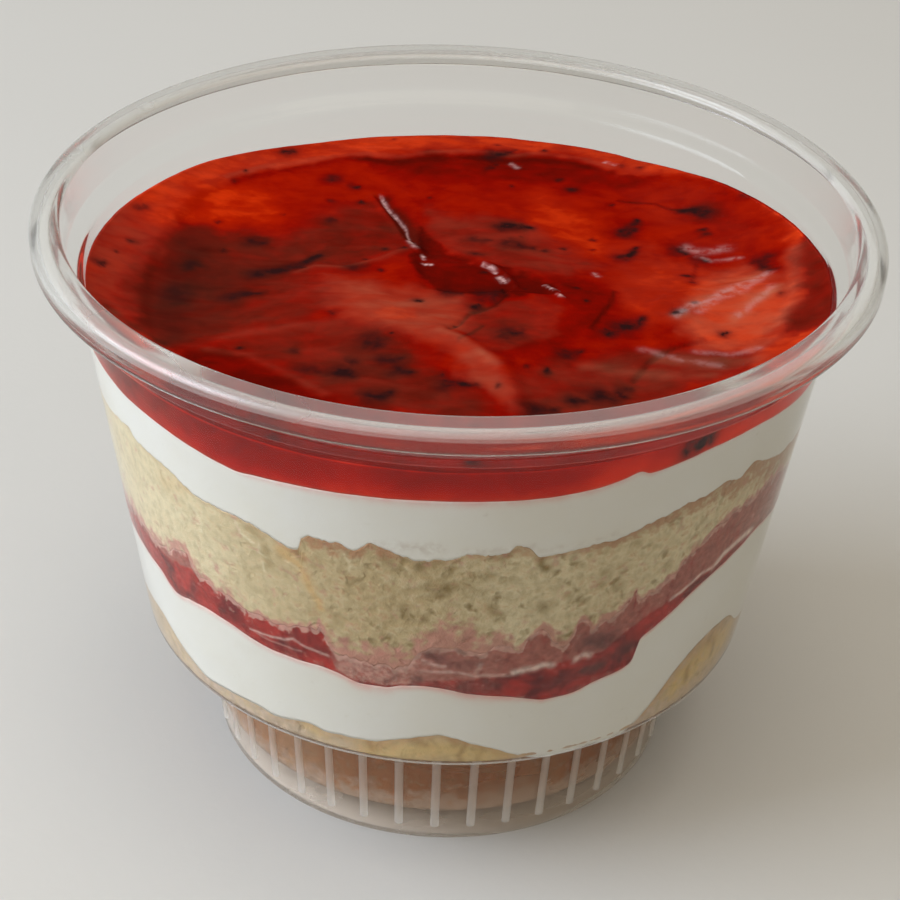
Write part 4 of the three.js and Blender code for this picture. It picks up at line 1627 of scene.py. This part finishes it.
@dataclass
class JellyTop(Layer):
    """The jelly: a deep red layer with folds on its open surface."""

    level: float = 57.9
    climb: float = 9.0
    side_fleck: Stroke = Stroke(((35.0, 59.5), (38.0, 59.9)), 1.5, 1.1)
    sides: int = 760
    top_rings: int = 112
    usual_tone: float = 0.92
    usual_film: float = 0.06
    fine_seed: int = 23
    fine_count: int = 70
    fine_least: tuple[float, ...] = (-40, -40, 0.35, 0, 0.3)
    fine_most: tuple[float, ...] = (40, 40, 0.9, 360, 1.3)
    fine_reach: float = 39.5
    fine_bend: float = 20.0
    drift_pitches: Pair = (5, 1.4)
    drift_seeds: tuple[int, int] = (91, 95)
    region_drift: Pair = (1.5, 0.6)
    mark_drift: Pair = (0.25, 0.1)
    bit_drift: Pair = (0.35, 0.3)
    swell: Wander = Wander(5, 3, 71, 0.1)
    ripple: Wander = Wander(1.6, 2, 75, 0.03)
    halo_spread: float = 1.9
    halo_depth: float = 0.22
    # Painted light on the jelly's side: a glow at the base, a rim shadow higher up and sheen on the left.
    glow: Pair = (0.25, 1.3)
    rim_shadow: float = 0.1
    rim_shadow_rise: Pair = (0.5, 4)
    left_sheen: float = 0.12
    left_span: Pair = (-30, -60)
    base_glow: Pair = (0.25, 0.25)
    side_tone: Course = Course(0.5, (
        -66, 0.05, -50, 0.1, -38, 0.24, -20, 0.42, 0, 0.46, 14, 0.55, 24, 0.8, 33, 0.6, 42, 0.8, 60, 0.7,
        120, 0.5,
    ), ragged=0.1, pitch=9, seed=63)
    folds: Strokes = drawn(
        (4.5, -0.5, (-10, 25, -4, 9)), (4, 0.5, (-5, 7, 12, -4)), (9, -0.9, (-30, -4, -21, 7)),
        (6, 0.7, (-14, -5, 6, -18)), (6.5, -0.7, (18, 12, 31, 8)), (5.5, 0.8, (26, -3, 36, 1)),
        (6, -0.7, (8, -25, 20, -20)),
        (0.55, -0.5, (-9.6, 22.6, -8.4, 19.6, -7, 16.4, -6, 13.6, -5.2, 10.6)),
        (0.4, 0.2, (-10.4, 22.4, -9.2, 19.4, -7.8, 16.2, -6.9, 13.4)),
        (0.6, 0.45, (-5.6, 11.4, -5, 9.8, -4.3, 8.6)),
        (0.5, 0.4, 0.4, (2.8, 5.6, 4.6, 4.2, 5.9, 2.2, 6.4, 0.2)),
        (0.45, 0.3, (10, 1, 10.8, -0.8, 11.6, -2.4)),
        (0.6, 0.12, (-18.2, 2.7, -16.1, 4.5, -12.7, 3.9, -8.8, 5.9, -6.1, 8.7)),
        (0.9, 0.08, (-25.1, -15.9, -23.4, -12.6, -20.6, -11.3, -12.3, -9.9, -5.8, -11.1)),
        (0.8, 0.15, (-28.8, -16.2, -22.4, -16.3, -15.6, -21.9, -12.4, -24.4)),
        (1.2, 0.35, (-1.5, -10.7, 1.8, -13.7, 5, -17.6, 7, -24.4)),
        (0.35, -0.2, (5.6, -0.6, 4.2, -4, 1.6, -6.4, -0.6, -10.6)),
        (0.8, 0.3, (39.5, 9, 38.4, 4, 37.6, -2, 35.4, -8)),
        (0.7, 0.25, (20.3, -5.6, 22.7, -2, 27.3, 0.8, 32, 2.3)),
        (0.4, -0.2, (18.8, -18, 20.6, -14.6, 23.4, -11.6, 27, -9.8)),
    )
    # Painted sheen: pale lines of film along folds, the back edge and the glossy right-hand side.
    sheen_lines: Strokes = drawn(
        (0.9, 0.28, (24.4, -5.2, 27, -2.2, 31, 1.4, 34.6, 5)), (0.7, 0.25, (30.5, -6, 33, -2.6, 36, 0.4)),
        (1.2, 0.18, (22, -14, 27, -15, 32, -14.4)), (0.9, 0.12, (14, -16, 20, -16.6, 27, -17.4)),
        (0.6, 0.2, (-1.5, -11.4, 1.8, -14.2, 4.6, -18)),
        (0.4, 0.1, (-28.6, 24.2, -25, 27.4, -20, 30.4, -16, 32.6, -12, 33.9, -8, 33.4, -4, 35, 0, 35.8,
         3, 35.6, 6, 34.6, 9, 35.7, 12, 35.4, 15, 34.4, 19, 32.2)),
        (0.4, 0.08, (-18.2, 2.7, -16.1, 4.5, -12.7, 3.9, -8.8, 5.9, -6.1, 8.7)),
        (0.7, 0.05, (-24.4, -13.4, -22, -11.8, -17, -10.5, -12.3, -10)),
        (0.6, 0.06, (-26, -16.4, -21.4, -17, -17.4, -20.4, -13, -24.2)),
        (0.8, 0.14, (38.6, 8.6, 37.8, 4, 37.2, -2, 35, -8)),
    )
    # Painted glints: pale strokes along the crease and on the glossy folds at the right.
    glints: Strokes = drawn(
        (0.2, 0.8, (-9.8, 23.2, -8.7, 20.4, -7.6, 18)), (0.15, 0.5, (-7.6, 18, -6.4, 15, -5.9, 12.6)),
        (0.36, 1.3, (-5.6, 11, -5, 9.4)), (0.18, 1.2, (-4, 7.4, -3.9, 6.6)),
        (0.18, 1.1, (-3.8, 5.2, -3, 5.1)), (0.16, 1, (2.9, 5.1, 3.8, 4.4, 4.4, 3.4)),
        (0.3, 1.2, (4.8, 2.4, 5.4, 1.4)), (0.14, 1, (9.9, 0.9, 10.4, 0.2, 11, -0.8)),
        (0.2, 1, (11.3, -1.8, 11.6, -2.3)), (0.25, 0.7, (15.6, 4.8, 15.9, 4)),
        (0.22, 0.8, (18, 33.6, 19.2, 33)), (0.3, 0.45, (6.2, 32.6, 7, 31.6)),
        (0.6, 0.32, (26.6, 12.9, 28.4, 11.6, 31.4, 11.9)), (0.3, 0.32, (28, 10.6, 29.4, 9.4, 32.6, 9.6)),
        (0.5, 0.36, (24.2, -5.2, 26, -3.2, 28.4, -2, 30, 0.2, 33, 2.4, 35.4, 4.6)),
        (0.5, 0.24, (26.6, -4.6, 29.4, -1.6, 31.6, -0.2, 34.4, 3)),
        (0.45, 0.22, (31, -5.4, 33.2, -2.6, 35.4, 0.6)), (0.5, 0.2, (20, -12, 24.6, -14.2, 28, -15.4)),
        (0.45, 0.22, (26, -12.4, 29.4, -13, 32.4, -12.2)),
    )
    # Painted shade: darker tone in the creases and under the fold along the back edge.
    crease_shade: Strokes = drawn(
        (0.7, 0.3, -0.6, (-9.2, 22.6, -8, 19.6, -6.6, 16.4, -5.4, 13.2, -4.6, 9.6)),
        (0.28, 0.3, (5.4, -0.4, 5.6, -1.8, 4.2, -4, 1.6, -6.2, 0.6, -8.8, -0.6, -10.6)),
        (0.28, 0.25, (3, -9, 1.6, -11.4, 0.3, -13.4)),
        (0.3, 0.25, (17.6, 0.4, 17, -3, 15.6, -6.5, 14.8, -8.4)), (0.25, 0.25, (27.6, 8.6, 26.6, 4)),
        (0.25, 0.3, (28, 20.6, 25.4, 21.4, 23.4, 22.8, 19, 23.6)),
        (0.35, 0.22, (19, -18, 20.6, -14.6, 23.4, -11.6, 26.8, -9.8)),
        (0.7, 0.14, (-28.4, 22.8, -24.6, 26.2, -20, 29.2, -16, 31.4, -12, 32.6, -8, 32.2, -4, 33.4, 1, 34.2,
         6, 33.2, 9, 34.2, 14, 33.2, 19, 31)), (0.5, 0.12, (-31.5, 21.5, -26, 26.6, -22.6, 30)),
        (0.8, 0.16, (-37, 21.6, -32, 27.4, -26, 32.4)), (0.7, 0.3, (-37.6, -10, -34.6, -13, -31, -15.6)),
    )
    regions: tuple[Region, ...] = drawn(
        (0.68, 0, 0.7, -0.35, (-28.5, 23.5, -25, 27, -20, 30, -16, 32.3, -12, 33.5, -8, 33, -4, 34.6,
         0, 35.4, 3, 35.2, 6, 34.2, 9, 35.3, 12, 35, 15, 34, 19, 31.8, 23, 30.5, 28, 28.8, 32, 25.5, 36, 19,
         38.5, 10, 37.5, 2, 35.5, -5, 33.5, -11, 27, -20, 20, -26, 10, -31, 0, -34, -10, -33, -20, -28,
         -28, -20, -32, -14, -33.6, -8, -34.2, 0, -33.8, 7, -32.5, 13, -30.5, 19)),
        (0.66, 0.12, 1.5, (-42, 14, -38, 13, -34.8, 6, -34.3, -4, -34, -10, -38, -14, -44, -5)),
        (0.46, 0.04, 0.6, (40.5, 12, 38.6, 8, 38, 0, 36, -6, 34, -11, 40, -10, 44, 2)),
        (0.45, 0, 2.4, (-12, 33, -4, 34.3, 3, 34.8, 12, 34.6, 19, 31.5, 24, 29.5, 22, 26.4, 12, 27.4,
         4, 27.8, -4, 28.6, -10, 29.6)),
        (0.7, 0, 1.5, (-31, 21, -28, 23.4, -22, 27, -17, 28.6, -12, 28, -9.5, 24, -11, 21, -15, 18.5,
         -19, 16, -22, 12.5, -30, 11, -33, 13)),
        (0.86, 0, 2, (-33, 19.4, -29, 21.6, -24, 21, -21.5, 17.6, -24, 14, -31, 12.4, -33.4, 14)),
        (0.42, 0.05, 3.4, (-33.6, 9, -30, 11.4, -25, 11.8, -21, 12.6, -17.5, 16, -14, 19.2, -10.5, 20.5,
         -8.6, 18, -6.5, 13.5, -6.3, 9, -8, 6.5, -12, 3.8, -15, 2, -15, -2, -14, -6, -18, -9, -23, -11.5,
         -27, -15.5, -32, -14.5, -33.8, -8, -34.2, 0)),
        (0.17, 0.04, 4.2, (-33.4, 8, -28, 9, -26, 3, -26.6, -4, -26, -10, -31, -14.5, -33.8, -8, -34, 0)),
        (0.46, 0.06, 2, (-19, -1, -14.5, -0.5, -13.6, -6, -17, -8.6, -22, -10.6, -26, -14, -22, -7)),
        (0.58, 0.085, 1.8, (-4, 20, -1, 17.5, 4, 19, 10, 17, 14, 12, 16, 6, 12, 3.5, 7, 3.8, 2, 6.5,
         -2, 10.5, -4, 14)), (0.86, 0.01, 2.6, (10, 25, 15, 20, 18, 12, 17, 7, 12.6, 10, 11, 15, 7, 20)),
        (0.8, 0.04, 2, (17, 13, 22, 14, 25, 10, 30, 7, 33, 1, 32, -5, 25, -6, 20, -7, 17.5, -2, 17.5, 5)),
        (0.68, 0.02, 2.6, (20, 27, 28, 27, 35, 19, 37.5, 12, 33, 8.5, 26, 12, 22, 20)),
        (0.96, 0.25, 1.5, (28, 5, 33, 7.5, 36.3, 4.5, 37, -2, 35, -8.5, 32, -13, 27, -11, 24.5, -6.5,
         26, -1.5)),
        (0.52, 0, 1.4, (11, 3, 17, 2, 17.5, -3, 15, -7.5, 11, -12, 8, -14, 6, -17, 4, -14, 8, -9,
         11.5, -4)),
        (0.58, 0.06, 0.7, (1.5, -5, 5, -2.5, 8.5, -2, 11, -5, 11, -9, 8, -12.5, 4, -14.5, 1, -12, 0, -9)),
        (0.47, 0.07, 1.8, (11, -16, 18, -12, 25, -12, 31, -14, 24, -22, 14, -27, 7.5, -26.5, 7, -20)),
        (0.45, 0.06, 1.9, (-24, -12, -20, -11, -13, -10, -7, -11, -5, -14, -3, -18.4, 0, -21.6, 3.6, -25.4,
         2, -28, -8, -28, -15, -22.5, -19, -18.5, -24, -15.5)),
        (0.36, 0, 1.4, (-29, -17, -23, -16.8, -16, -22.5, -12, -26, -18, -30, -28, -22)),
        (0.74, 0.2, 1.3, (-4.5, -10.2, -1.5, -11.2, 1.4, -13.8, 4.2, -17.2, 6.6, -21.5, 7, -26, 5.6, -26,
         3.8, -22.6, 1, -18.6, -2, -15, -5, -12)),
        (0.76, 0.28, 2.8, (-14, -0.5, -10.5, -0.2, -7, -1.5, -4, -2.2, 0, -2.5, 1.5, -6, 0, -9.5, -3, -11.2,
         -7, -10.2, -10.5, -8.6, -13, -5.8)), (0.85, 0.22, 0.9, (-9, -6, -5, -5.6, -4, -8.4, -7.6, -9)),
        # The sunk wedge below the crease, whose darker tone is painted shade.
        (0.38, 0, 0.5, -0.3, (-5.6, 14.5, -4, 12.5, -1.5, 9, 1.5, 6.3, 4.2, 4.4, 7.5, 3.6, 11, 1.2,
         10.5, -1.5, 8, -1.2, 6.2, -1, 3, -1.2, -0.5, -1.2, -3.5, -0.5, -4.3, 3, -4.6, 7, -5.2, 10.5)),
        (0.5, 0, 2, (-33, -27, -22, -37, -8, -42, 8, -42, 24, -36, 35, -26, 30, -22, 20, -30, 8, -35,
         -6, -35, -18, -31, -28, -23)),
        kind=Region,
    )
    bits: tuple[tuple[float, ...], ...] = (
        (-22, 32.4, 2.2, 20), (-15.7, 26.5, 1.8, 90, 0.8), (-13.4, 24.6, 1.3),
        (-22.6, 2.5, 2, 25, 4.6, 12, 0.2), (-25.2, -3.4, 1.9, 30, 2.2, -15, 0.2),
        (-30.6, 3, 1.3, 70, 1.8, -50, 0.6), (-31, -3, 3.2, 90, 0.8, 0, 1.2), (-23.6, 10.3, 1.9, -15, 1, 0),
        (-37.3, 13.4, 1.3, 30, 1, 40, 0.6), (-40, -1.2, 0.9, 20, 1.6, -60),
        (-8.7, -13.5, 3, -30, 0.8, 0, 0.8), (-7.1, -17.1, 2, -20, 1, 20), (-5.9, -18.9, 1.8, -30, 1.2, 20),
        (-12, -19.8, 2.4, -10, 1.1, -20, 0.4), (-10.6, -17.4, 1.6, 0, 0.8, 0, 0.6),
        (-8.6, -24.7, 2.4, 10, 1.4, 20), (-15.3, -19.5, 2.2, -20, 1, 0, 1.1), (3.6, 34.6, 2.2, 10, 1.4, 10),
        (5.6, 15.6, 2.2, 10, 1.8, -12, 0.3), (1.8, 11.9, 2.2, -5, 1.2, 0, 1.1),
        (5.6, 11.2, 2.4, -15, 1.7, 0, 0.9), (1.9, 8.1, 1.4, 0, 1, 0, 0.9), (3.8, -2, 2.8, 30, 1, 20, 0.8),
        (2.2, -4.7, 1.2, 20, 1, 30, 0.2), (-1.1, -1.7, 1.6, 0, 1.4, 0, 1), (-4.3, -3.9, 1, -20, 1, 0, 0.4),
        (6, -10.1, 2.8, 15, 0.9, 20, 0.6), (19.2, 15.8, 1.9, 40, 2.4, 16, 0.25),
        (18.9, 9.7, 1.7, 40, 2.2, 16, 0.25), (18.5, -7.7, 2.6, 25, 1.2, 10),
        (16.4, -9.4, 1.8, 30, 1.4, 0, 0.6), (29.2, 20.4, 2.6, 165, 1.5, 8, 0.3),
        (34.5, 22.6, 1.5, 80, 1.2, 0), (25.9, 12.3, 2, -40, 1, 0, 0.6), (27.8, 10, 1.8, -20, 1, 0),
        (35.1, 8.4, 2.2, -80, 1.8, 10, 0.8), (24.4, -4.6, 1.2, 10, 1.4, 10, 0.4),
        (29.1, -8.8, 1, 35, 1.3, 0, 0.1), (8.5, -25.3, 2.8, 10, 1, 10, 0.4),
        (15.3, -21.4, 2.6, -5, 1.3, 10, 0.4), (12.4, -22.6, 1.8, 10, 1.2, 0),
        (-0.4, -21.2, 2.2, 5, 1.6, -8, 0.4), (11.8, -14.3, 1.7, 20, 1.5, 10),
        (17.4, -20.2, 1.6, 20, 1, 0, 0.7), (-15.2, 15.8, 1.2, 10, 1, 0, 0.9),
        (-11.9, 4, 1.6, 20, 1.2, 0, 1), (13.5, 26, 1.1, 0, 1, 0, 0.7),
    )

    def surface(self, x: Array, y: Array) -> Array:
        """Heights of the open surface away from the wall."""
        height = np.full(np.shape(x), self.level)
        for fold in self.folds:
            height = height + fold.mask(x, y)
        for region in self.regions:
            if region.rise:
                height = height + region.rise * region.mask(x, y)
        flat = np.stack([x, y, np.zeros(np.shape(x))], axis=-1)
        return height + (self.swell.at(flat) + self.ripple.at(flat))

    def net_top(self, reach: float) -> Array:
        """A ring of the open surface."""
        bearings = self.bearings()
        flat = around(reach * POT.bore(self.level), bearings, 0.0)
        open_height = self.surface(flat[..., 0], flat[..., 1])
        contact = self.high.at(bearings)
        z = open_height + (contact - open_height) * reach**self.climb
        return around(reach * (POT.bore(z) + self.bite), bearings, z)

    def over(self) -> list[Array]:
        """Rings of the open surface, in a fine net."""
        return [self.net_top(reach) for reach in np.linspace(1, 0, self.top_rings + 1)[1:-1]]

    def fields(self, rings: Array) -> Fields:
        """The jelly's tone, its film and painted sheen, its painted glints, its painted crease shade and
        its soft dark bits.
        """
        flat = rings * np.array([1, 1, 0])
        coarse, fine = (np.stack([fractal(flat, pitch, 3, seed) for seed in self.drift_seeds])
                        for pitch in self.drift_pitches)
        places = np.moveaxis(flat, -1, 0)[:2]
        x, y = places + self.region_drift[0] * coarse + self.region_drift[1] * fine
        tone = np.full(rings.shape[:2], self.usual_tone)
        film = np.full(rings.shape[:2], self.usual_film)
        for region in self.regions:
            share = region.mask(x, y)
            tone = tone + (region.tone - tone) * share
            film = film + (region.film - film) * share
        x, y = places + self.mark_drift[0] * coarse + self.mark_drift[1] * fine
        # Painted shade in the creases darkens the tone, painted sheen adds to the film, and painted glints
        # follow.
        tone = tone - strongest(self.crease_shade, x, y)
        film = film + strongest(self.sheen_lines, x, y)
        glint = strongest(self.glints, x, y)
        x, y = (x, y) + self.bit_drift[0] * coarse[::-1] + self.bit_drift[1] * fine[::-1]
        bits = np.clip(strongest(tuple(fleck.stroke() for fleck in self.flecks()), x, y), 0, 1)
        halo = strongest(tuple(fleck.stroke(self.halo_spread) for fleck in self.flecks()), x, y)
        tone = tone - self.halo_depth * halo
        side = slice(len(self.reaches), len(self.reaches) + self.rows + 1)
        bearings = self.wide(rings[side])
        up = self.above_base(rings)[side]
        contact = tone[side.stop - 1].copy()
        # Painted glow at the base and painted rim shadow higher up.
        glow = fading(*self.glow, up) - self.rim_shadow * smooth(*self.rim_shadow_rise, up)
        tone[side] = self.side_tone.at(bearings) + glow
        tone[side.stop - 1] = contact
        # Painted sheen on the left of the side and a pale painted glow along its base.
        film[side] = self.left_sheen * smooth(*self.left_span, bearings) + fading(*self.base_glow, up)
        bits[side] = self.side_fleck.on_wall(bearings, rings[side, :, 2])
        glint[side] = 0
        return {"tone": tone, "film": film, "bits": bits, "glint": glint}

    def zones(self) -> Array:
        """The material of each band: the first for the open top, the second under the wall."""
        low = len(self.reaches) + self.rows
        return np.concatenate([np.ones(low, int), np.zeros(self.top_rings - 1, int)])

    def flecks(self) -> tuple[Fleck, ...]:
        """The bits that show, listed, and a seeded scatter of fine ones."""
        draw = np.random.default_rng(self.fine_seed)
        fine = []
        while len(fine) < self.fine_count:
            x, y, size, turn, depth = draw.uniform(self.fine_least, self.fine_most)
            if math.hypot(x, y) < self.fine_reach:
                fine.append(Fleck(x, y, size, turn, bend=self.fine_bend, depth=depth))
        return tuple(Fleck(*row) for row in self.bits) + tuple(fine)


@dataclass
class Flecks:
    """Berry bits as true meshes, set into the jelly's surface by a geometry tree."""

    jelly: JellyTop
    shapes: int = 4
    lump: Wander = Wander(1.7, 2, 17, 0.45)
    zoom: float = 4.0
    tail_reach: float = 1.1
    tail_bend: float = 1.5
    tail_curl: Pair = (0.45, 0.2)
    thinning: float = 1.2
    flatness: Pair = (0.55, 0.35)
    shallow: float = 0.35
    sunk: float = 0.2
    scale: float = 0.5

    def shape(self, index: int) -> Object:
        """One bit: a lumpy seed with a bent tail, a millimetre long."""
        made = bmesh.new()
        bmesh.ops.create_icosphere(made, subdivisions=2, radius=0.5)
        lumps = replace(self.lump, seed=self.lump.seed + index)
        curl = self.tail_curl[0] + self.tail_curl[1] * index
        for vertex in made.verts:
            p = np.array(vertex.co)
            lump = 1 + float(lumps.at(p[None] * self.zoom)[0])
            tail = max(0.0, p[0])
            thin = 1 - self.thinning * tail
            x = p[0] * lump + self.tail_reach * tail**self.tail_bend
            y = p[1] * lump * self.flatness[0] * thin + curl * tail**2
            z = p[2] * lump * self.flatness[1] * thin
            vertex.co = Vector((x, y, z)) * MM
        mesh = bpy.data.meshes.new(f"fleck_shape_{index}")
        made.to_mesh(mesh)
        made.free()
        return bpy.data.objects.new(mesh.name, mesh)

    def build(self, finish: Material) -> Object:
        """Set the bits that lie shallow into the jelly's surface."""
        bits = [fleck for fleck in self.jelly.flecks() if fleck.depth < self.shallow]
        x, y, size, turn = np.array([(bit.x, bit.y, bit.size, math.radians(bit.turn)) for bit in bits]).T
        z = self.jelly.surface(x, y) - self.sunk
        mesh = bpy.data.meshes.new("berry_flecks")
        mesh.from_pydata((np.stack([x, y, z], axis=-1) * MM).tolist(), [], [])
        carry(mesh, "size", size)
        carry(mesh, "turn", turn)
        piece = placed("berry_flecks", mesh)
        kinds = bpy.data.collections.new("fleck_shapes")
        for index in range(self.shapes):
            kinds.objects.link(self.shape(index))
        grow(piece, self.tree(finish), {"Shapes": kinds, "Size": self.scale})
        settle(piece, Slot.JELLY)
        return piece

    def tree(self, finish: Material) -> NodeTree:
        """Build the tree that sets a bit on each point.

        Args:
            finish: The material that the bits get.

        Returns:
            The geometry tree.
        """
        takes = {"Geometry": "Geometry", "Shapes": "Collection", "Size": "Float"}
        w, given, leave = start_tree("scatter_flecks", "GeometryNodeTree", takes, {"Geometry": "Geometry"})
        kinds = {"Collection": given["Shapes"], "Separate Children": True}
        shapes = w.add("GeometryNodeCollectionInfo", kinds).outputs[0]
        size, turn = (w.add("GeometryNodeInputNamedAttribute", {"Name": title}).outputs["Attribute"]
                      for title in ("size", "turn"))
        spin = w.add("ShaderNodeCombineXYZ", {"Z": turn}).outputs[0]
        feeds = {"Points": given["Geometry"], "Instance": shapes, "Pick Instance": True, "Rotation": spin,
                 "Scale": w.times(size, given["Size"])}
        finish_tree(w, leave, w.add("GeometryNodeInstanceOnPoints", feeds).outputs[0], finish)
        return w.tree


@dataclass(frozen=True)
class Lamp:
    """A soft square lamp that faces the pot, with its lengths in metres."""

    title: str
    place: Corner
    size: float
    watts: float
    colour: Colour
    aim: Corner = (0, 0, 0.04)

    def hang(self) -> None:
        """Hang the lamp."""
        data = bpy.data.lights.new(self.title, "AREA")
        data.size, data.energy, data.color = self.size, self.watts, self.colour
        lamp = placed(self.title, data)
        lamp.location = self.place
        lamp.rotation_euler = (Vector(self.aim) - Vector(self.place)).to_track_quat("-Z", "Y").to_euler()


@dataclass
class Studio:
    """The table, the lamps and the camera."""

    focal: float = 83.7
    near: float = 0.01
    eye: Corner = (0, -206.4, 169.5)
    aim: Corner = (0, 0, 35.8)
    roll: float = 2.39
    table_half: float = 1500.0
    window: Lamp = Lamp("window", (-0.72, -0.12, 0.56), size=0.65, watts=6.6, colour=(0.79, 0.88, 1.0))
    ceiling: Lamp = Lamp("ceiling", (0.08, 0.02, 1.0), size=0.8, watts=2.5, colour=(1.0, 0.92, 0.78))
    sky_colour: Colour = (1, 0.92, 0.78)
    sky_span: Pair = (-0.4, 0.7)
    sky_strength: Pair = (0.54, 0.15)

    def camera(self) -> None:
        """Set the camera at the photograph's angle."""
        data = bpy.data.cameras.new("camera")
        data.lens = self.focal
        data.clip_start = self.near
        camera = placed("camera", data)
        eye, aim = Vector(self.eye) * MM, Vector(self.aim) * MM
        look = (aim - eye).to_track_quat("-Z", "Y").to_matrix().to_4x4()
        tilt = Matrix.Rotation(math.radians(self.roll), 4, "Z")
        camera.matrix_world = Matrix.Translation(eye) @ look @ tilt
        bpy.context.scene.camera = camera

    def table(self) -> None:
        """Lay the pale table under the pot."""
        half = self.table_half * MM
        mesh = bpy.data.meshes.new("table")
        corners = [(-half, -half, 0), (half, -half, 0), (half, half, 0), (-half, half, 0)]
        mesh.from_pydata(corners, [], [(0, 1, 2, 3)])
        mesh.materials.append(Tabletop("pale_table").make())
        placed("table", mesh)

    def sky(self) -> None:
        """Light the room softly and warmly, darkest beyond the table."""
        world = bpy.data.worlds.new("room")
        world.use_nodes = True
        w = Wiring(world.node_tree)
        back = world.node_tree.nodes["Background"]
        way = w.add("ShaderNodeTexCoord").outputs["Generated"]
        ahead = w.add("ShaderNodeSeparateXYZ", {0: way}).outputs["Y"]
        w.feed(back.inputs["Color"], self.sky_colour)
        w.feed(back.inputs["Strength"], w.remap(ahead, *self.sky_span, *self.sky_strength))
        bpy.context.scene.world = world

    def build(self) -> None:
        """Set up the table, lamps, sky and camera."""
        self.table()
        self.sky()
        self.window.hang()
        self.ceiling.hang()
        self.camera()
        bpy.context.scene.view_settings.view_transform = "Standard"
        LOG.info("studio set up")


def pot_finishes() -> Finishes:
    """The clear plastic of each of the pot's zones, in their order."""
    frosted, white = (0.2, 0.3), (0.92, 0.92, 0.9)
    return tuple(finish.make() for finish in (
        ClearPlastic("body_plastic", gloss=0.3),
        ClearPlastic("collar_plastic", roughness=(0.05, 0.1), gloss=0.25),
        ClearPlastic("rim_plastic", milky=0.18, roughness=frosted, gloss=0.9, tint=white, upper_tint=white),
        ClearPlastic("skirt_plastic", milky=0.02, roughness=(0.12, 0.2), gloss=0.1,
                     upper_tint=(0.76, 0.76, 0.74)),
        ClearPlastic("foot_plastic", milky=0.1, roughness=frosted, gloss=0.2, tint=(0.91, 0.82, 0.73),
                     upper_tint=(0.6, 0.44, 0.34), tint_rise=(3, 8)),
        ClearPlastic("corner_plastic", milky=0.26, roughness=frosted, gloss=0.7),
    ))


def build_pot() -> None:
    """Make the pot and its ribs."""
    rib = ClearPlastic("rib_plastic", milky=0.22, roughness=(0.3, 0.4), gloss=0.3,
                       upper_tint=(0.9, 0.84, 0.78))
    Pot(POT).build(pot_finishes(), rib.make())


def build_layers() -> None:
    """Make the layers of sponge, cream and jam, from the lowest up."""
    base_crumb = Crumb("base_crumb", pale=(0.46, 0.345, 0.225), light=(0.62, 0.49, 0.32),
                       crust=(0.42, 0.2, 0.09), stain=(0.52, 0.41, 0.33), golden=(0.64, 0.46, 0.2),
                       pore_shade=(0.26, 0.145, 0.045))
    pale_crumb, jam, cream = Crumb("pale_crumb"), Jam("red_jam"), Cream("white_cream").make()
    lower_stain = Course(0.35, (
        -66, 0.4, -40, 0.5, -28, 0.5, -18, 0.6, -12, 0.9, -3, 0.6, 6, 0.9, 14, 0.5, 24, 0.3, 66, 0.3,
    ))
    upper_stain = Course(0.35, (-66, 0.15, -32, 0.15, -28, 0.5, 0, 0.7, 24, 0.5, 34, 0.25))
    BaseSponge("base_sponge_fill", "base_sponge", Slot.BASE_CRUMB, LEDGE_LINE, BASE_TOP, rows=14,
               openness=Course(0.35)).build(base_crumb.make())
    CreamLayer("lower_cream_fill", "lower_cream", Slot.CREAM, BASE_TOP, LOWER_CREAM_TOP,
               soak_depth=lower_stain).build(cream)
    JamLayer("jam_fill", "jam_layer", Slot.JAM, LOWER_CREAM_TOP, JAM_TOP, rows=32).build(jam.make())
    Sponge("middle_sponge_fill", "middle_sponge", Slot.PALE_CRUMB, JAM_TOP, SPONGE_TOP,
           rows=56).build(pale_crumb.make())
    CreamLayer("upper_cream_fill", "upper_cream", Slot.CREAM, SPONGE_TOP, UPPER_CREAM_TOP,
               soak_depth=upper_stain, soak_share=0.45).build(cream)


def build_jelly() -> None:
    """Make the jelly and the bits of berry in it."""
    side_tones = ((0, (0.13, 0.006, 0.005)), (0.5, (0.43, 0.008, 0.003)), (1, (0.78, 0.03, 0.006)))
    side = Jelly("side_jelly", tones=side_tones, wet=0,
                 clouds=Pattern(6, 5, (0.3, 0.7), (-0.08, 0.08), 0.8))
    jelly = JellyTop("jelly_fill", "strawberry_jelly", Slot.JELLY, UPPER_CREAM_TOP, JELLY_CONTACT, rows=14)
    jelly.build(Jelly("red_jelly").make(), side.make())
    Flecks(jelly).build(BerrySkin("berry_skin").make())


def main() -> None:
    """Build every piece in order."""
    logging.basicConfig(level=logging.INFO, format="%(message)s", stream=sys.stdout)
    build_pot()
    build_layers()
    build_jelly()
    Studio().build()


if __name__ == "__main__":
    main()
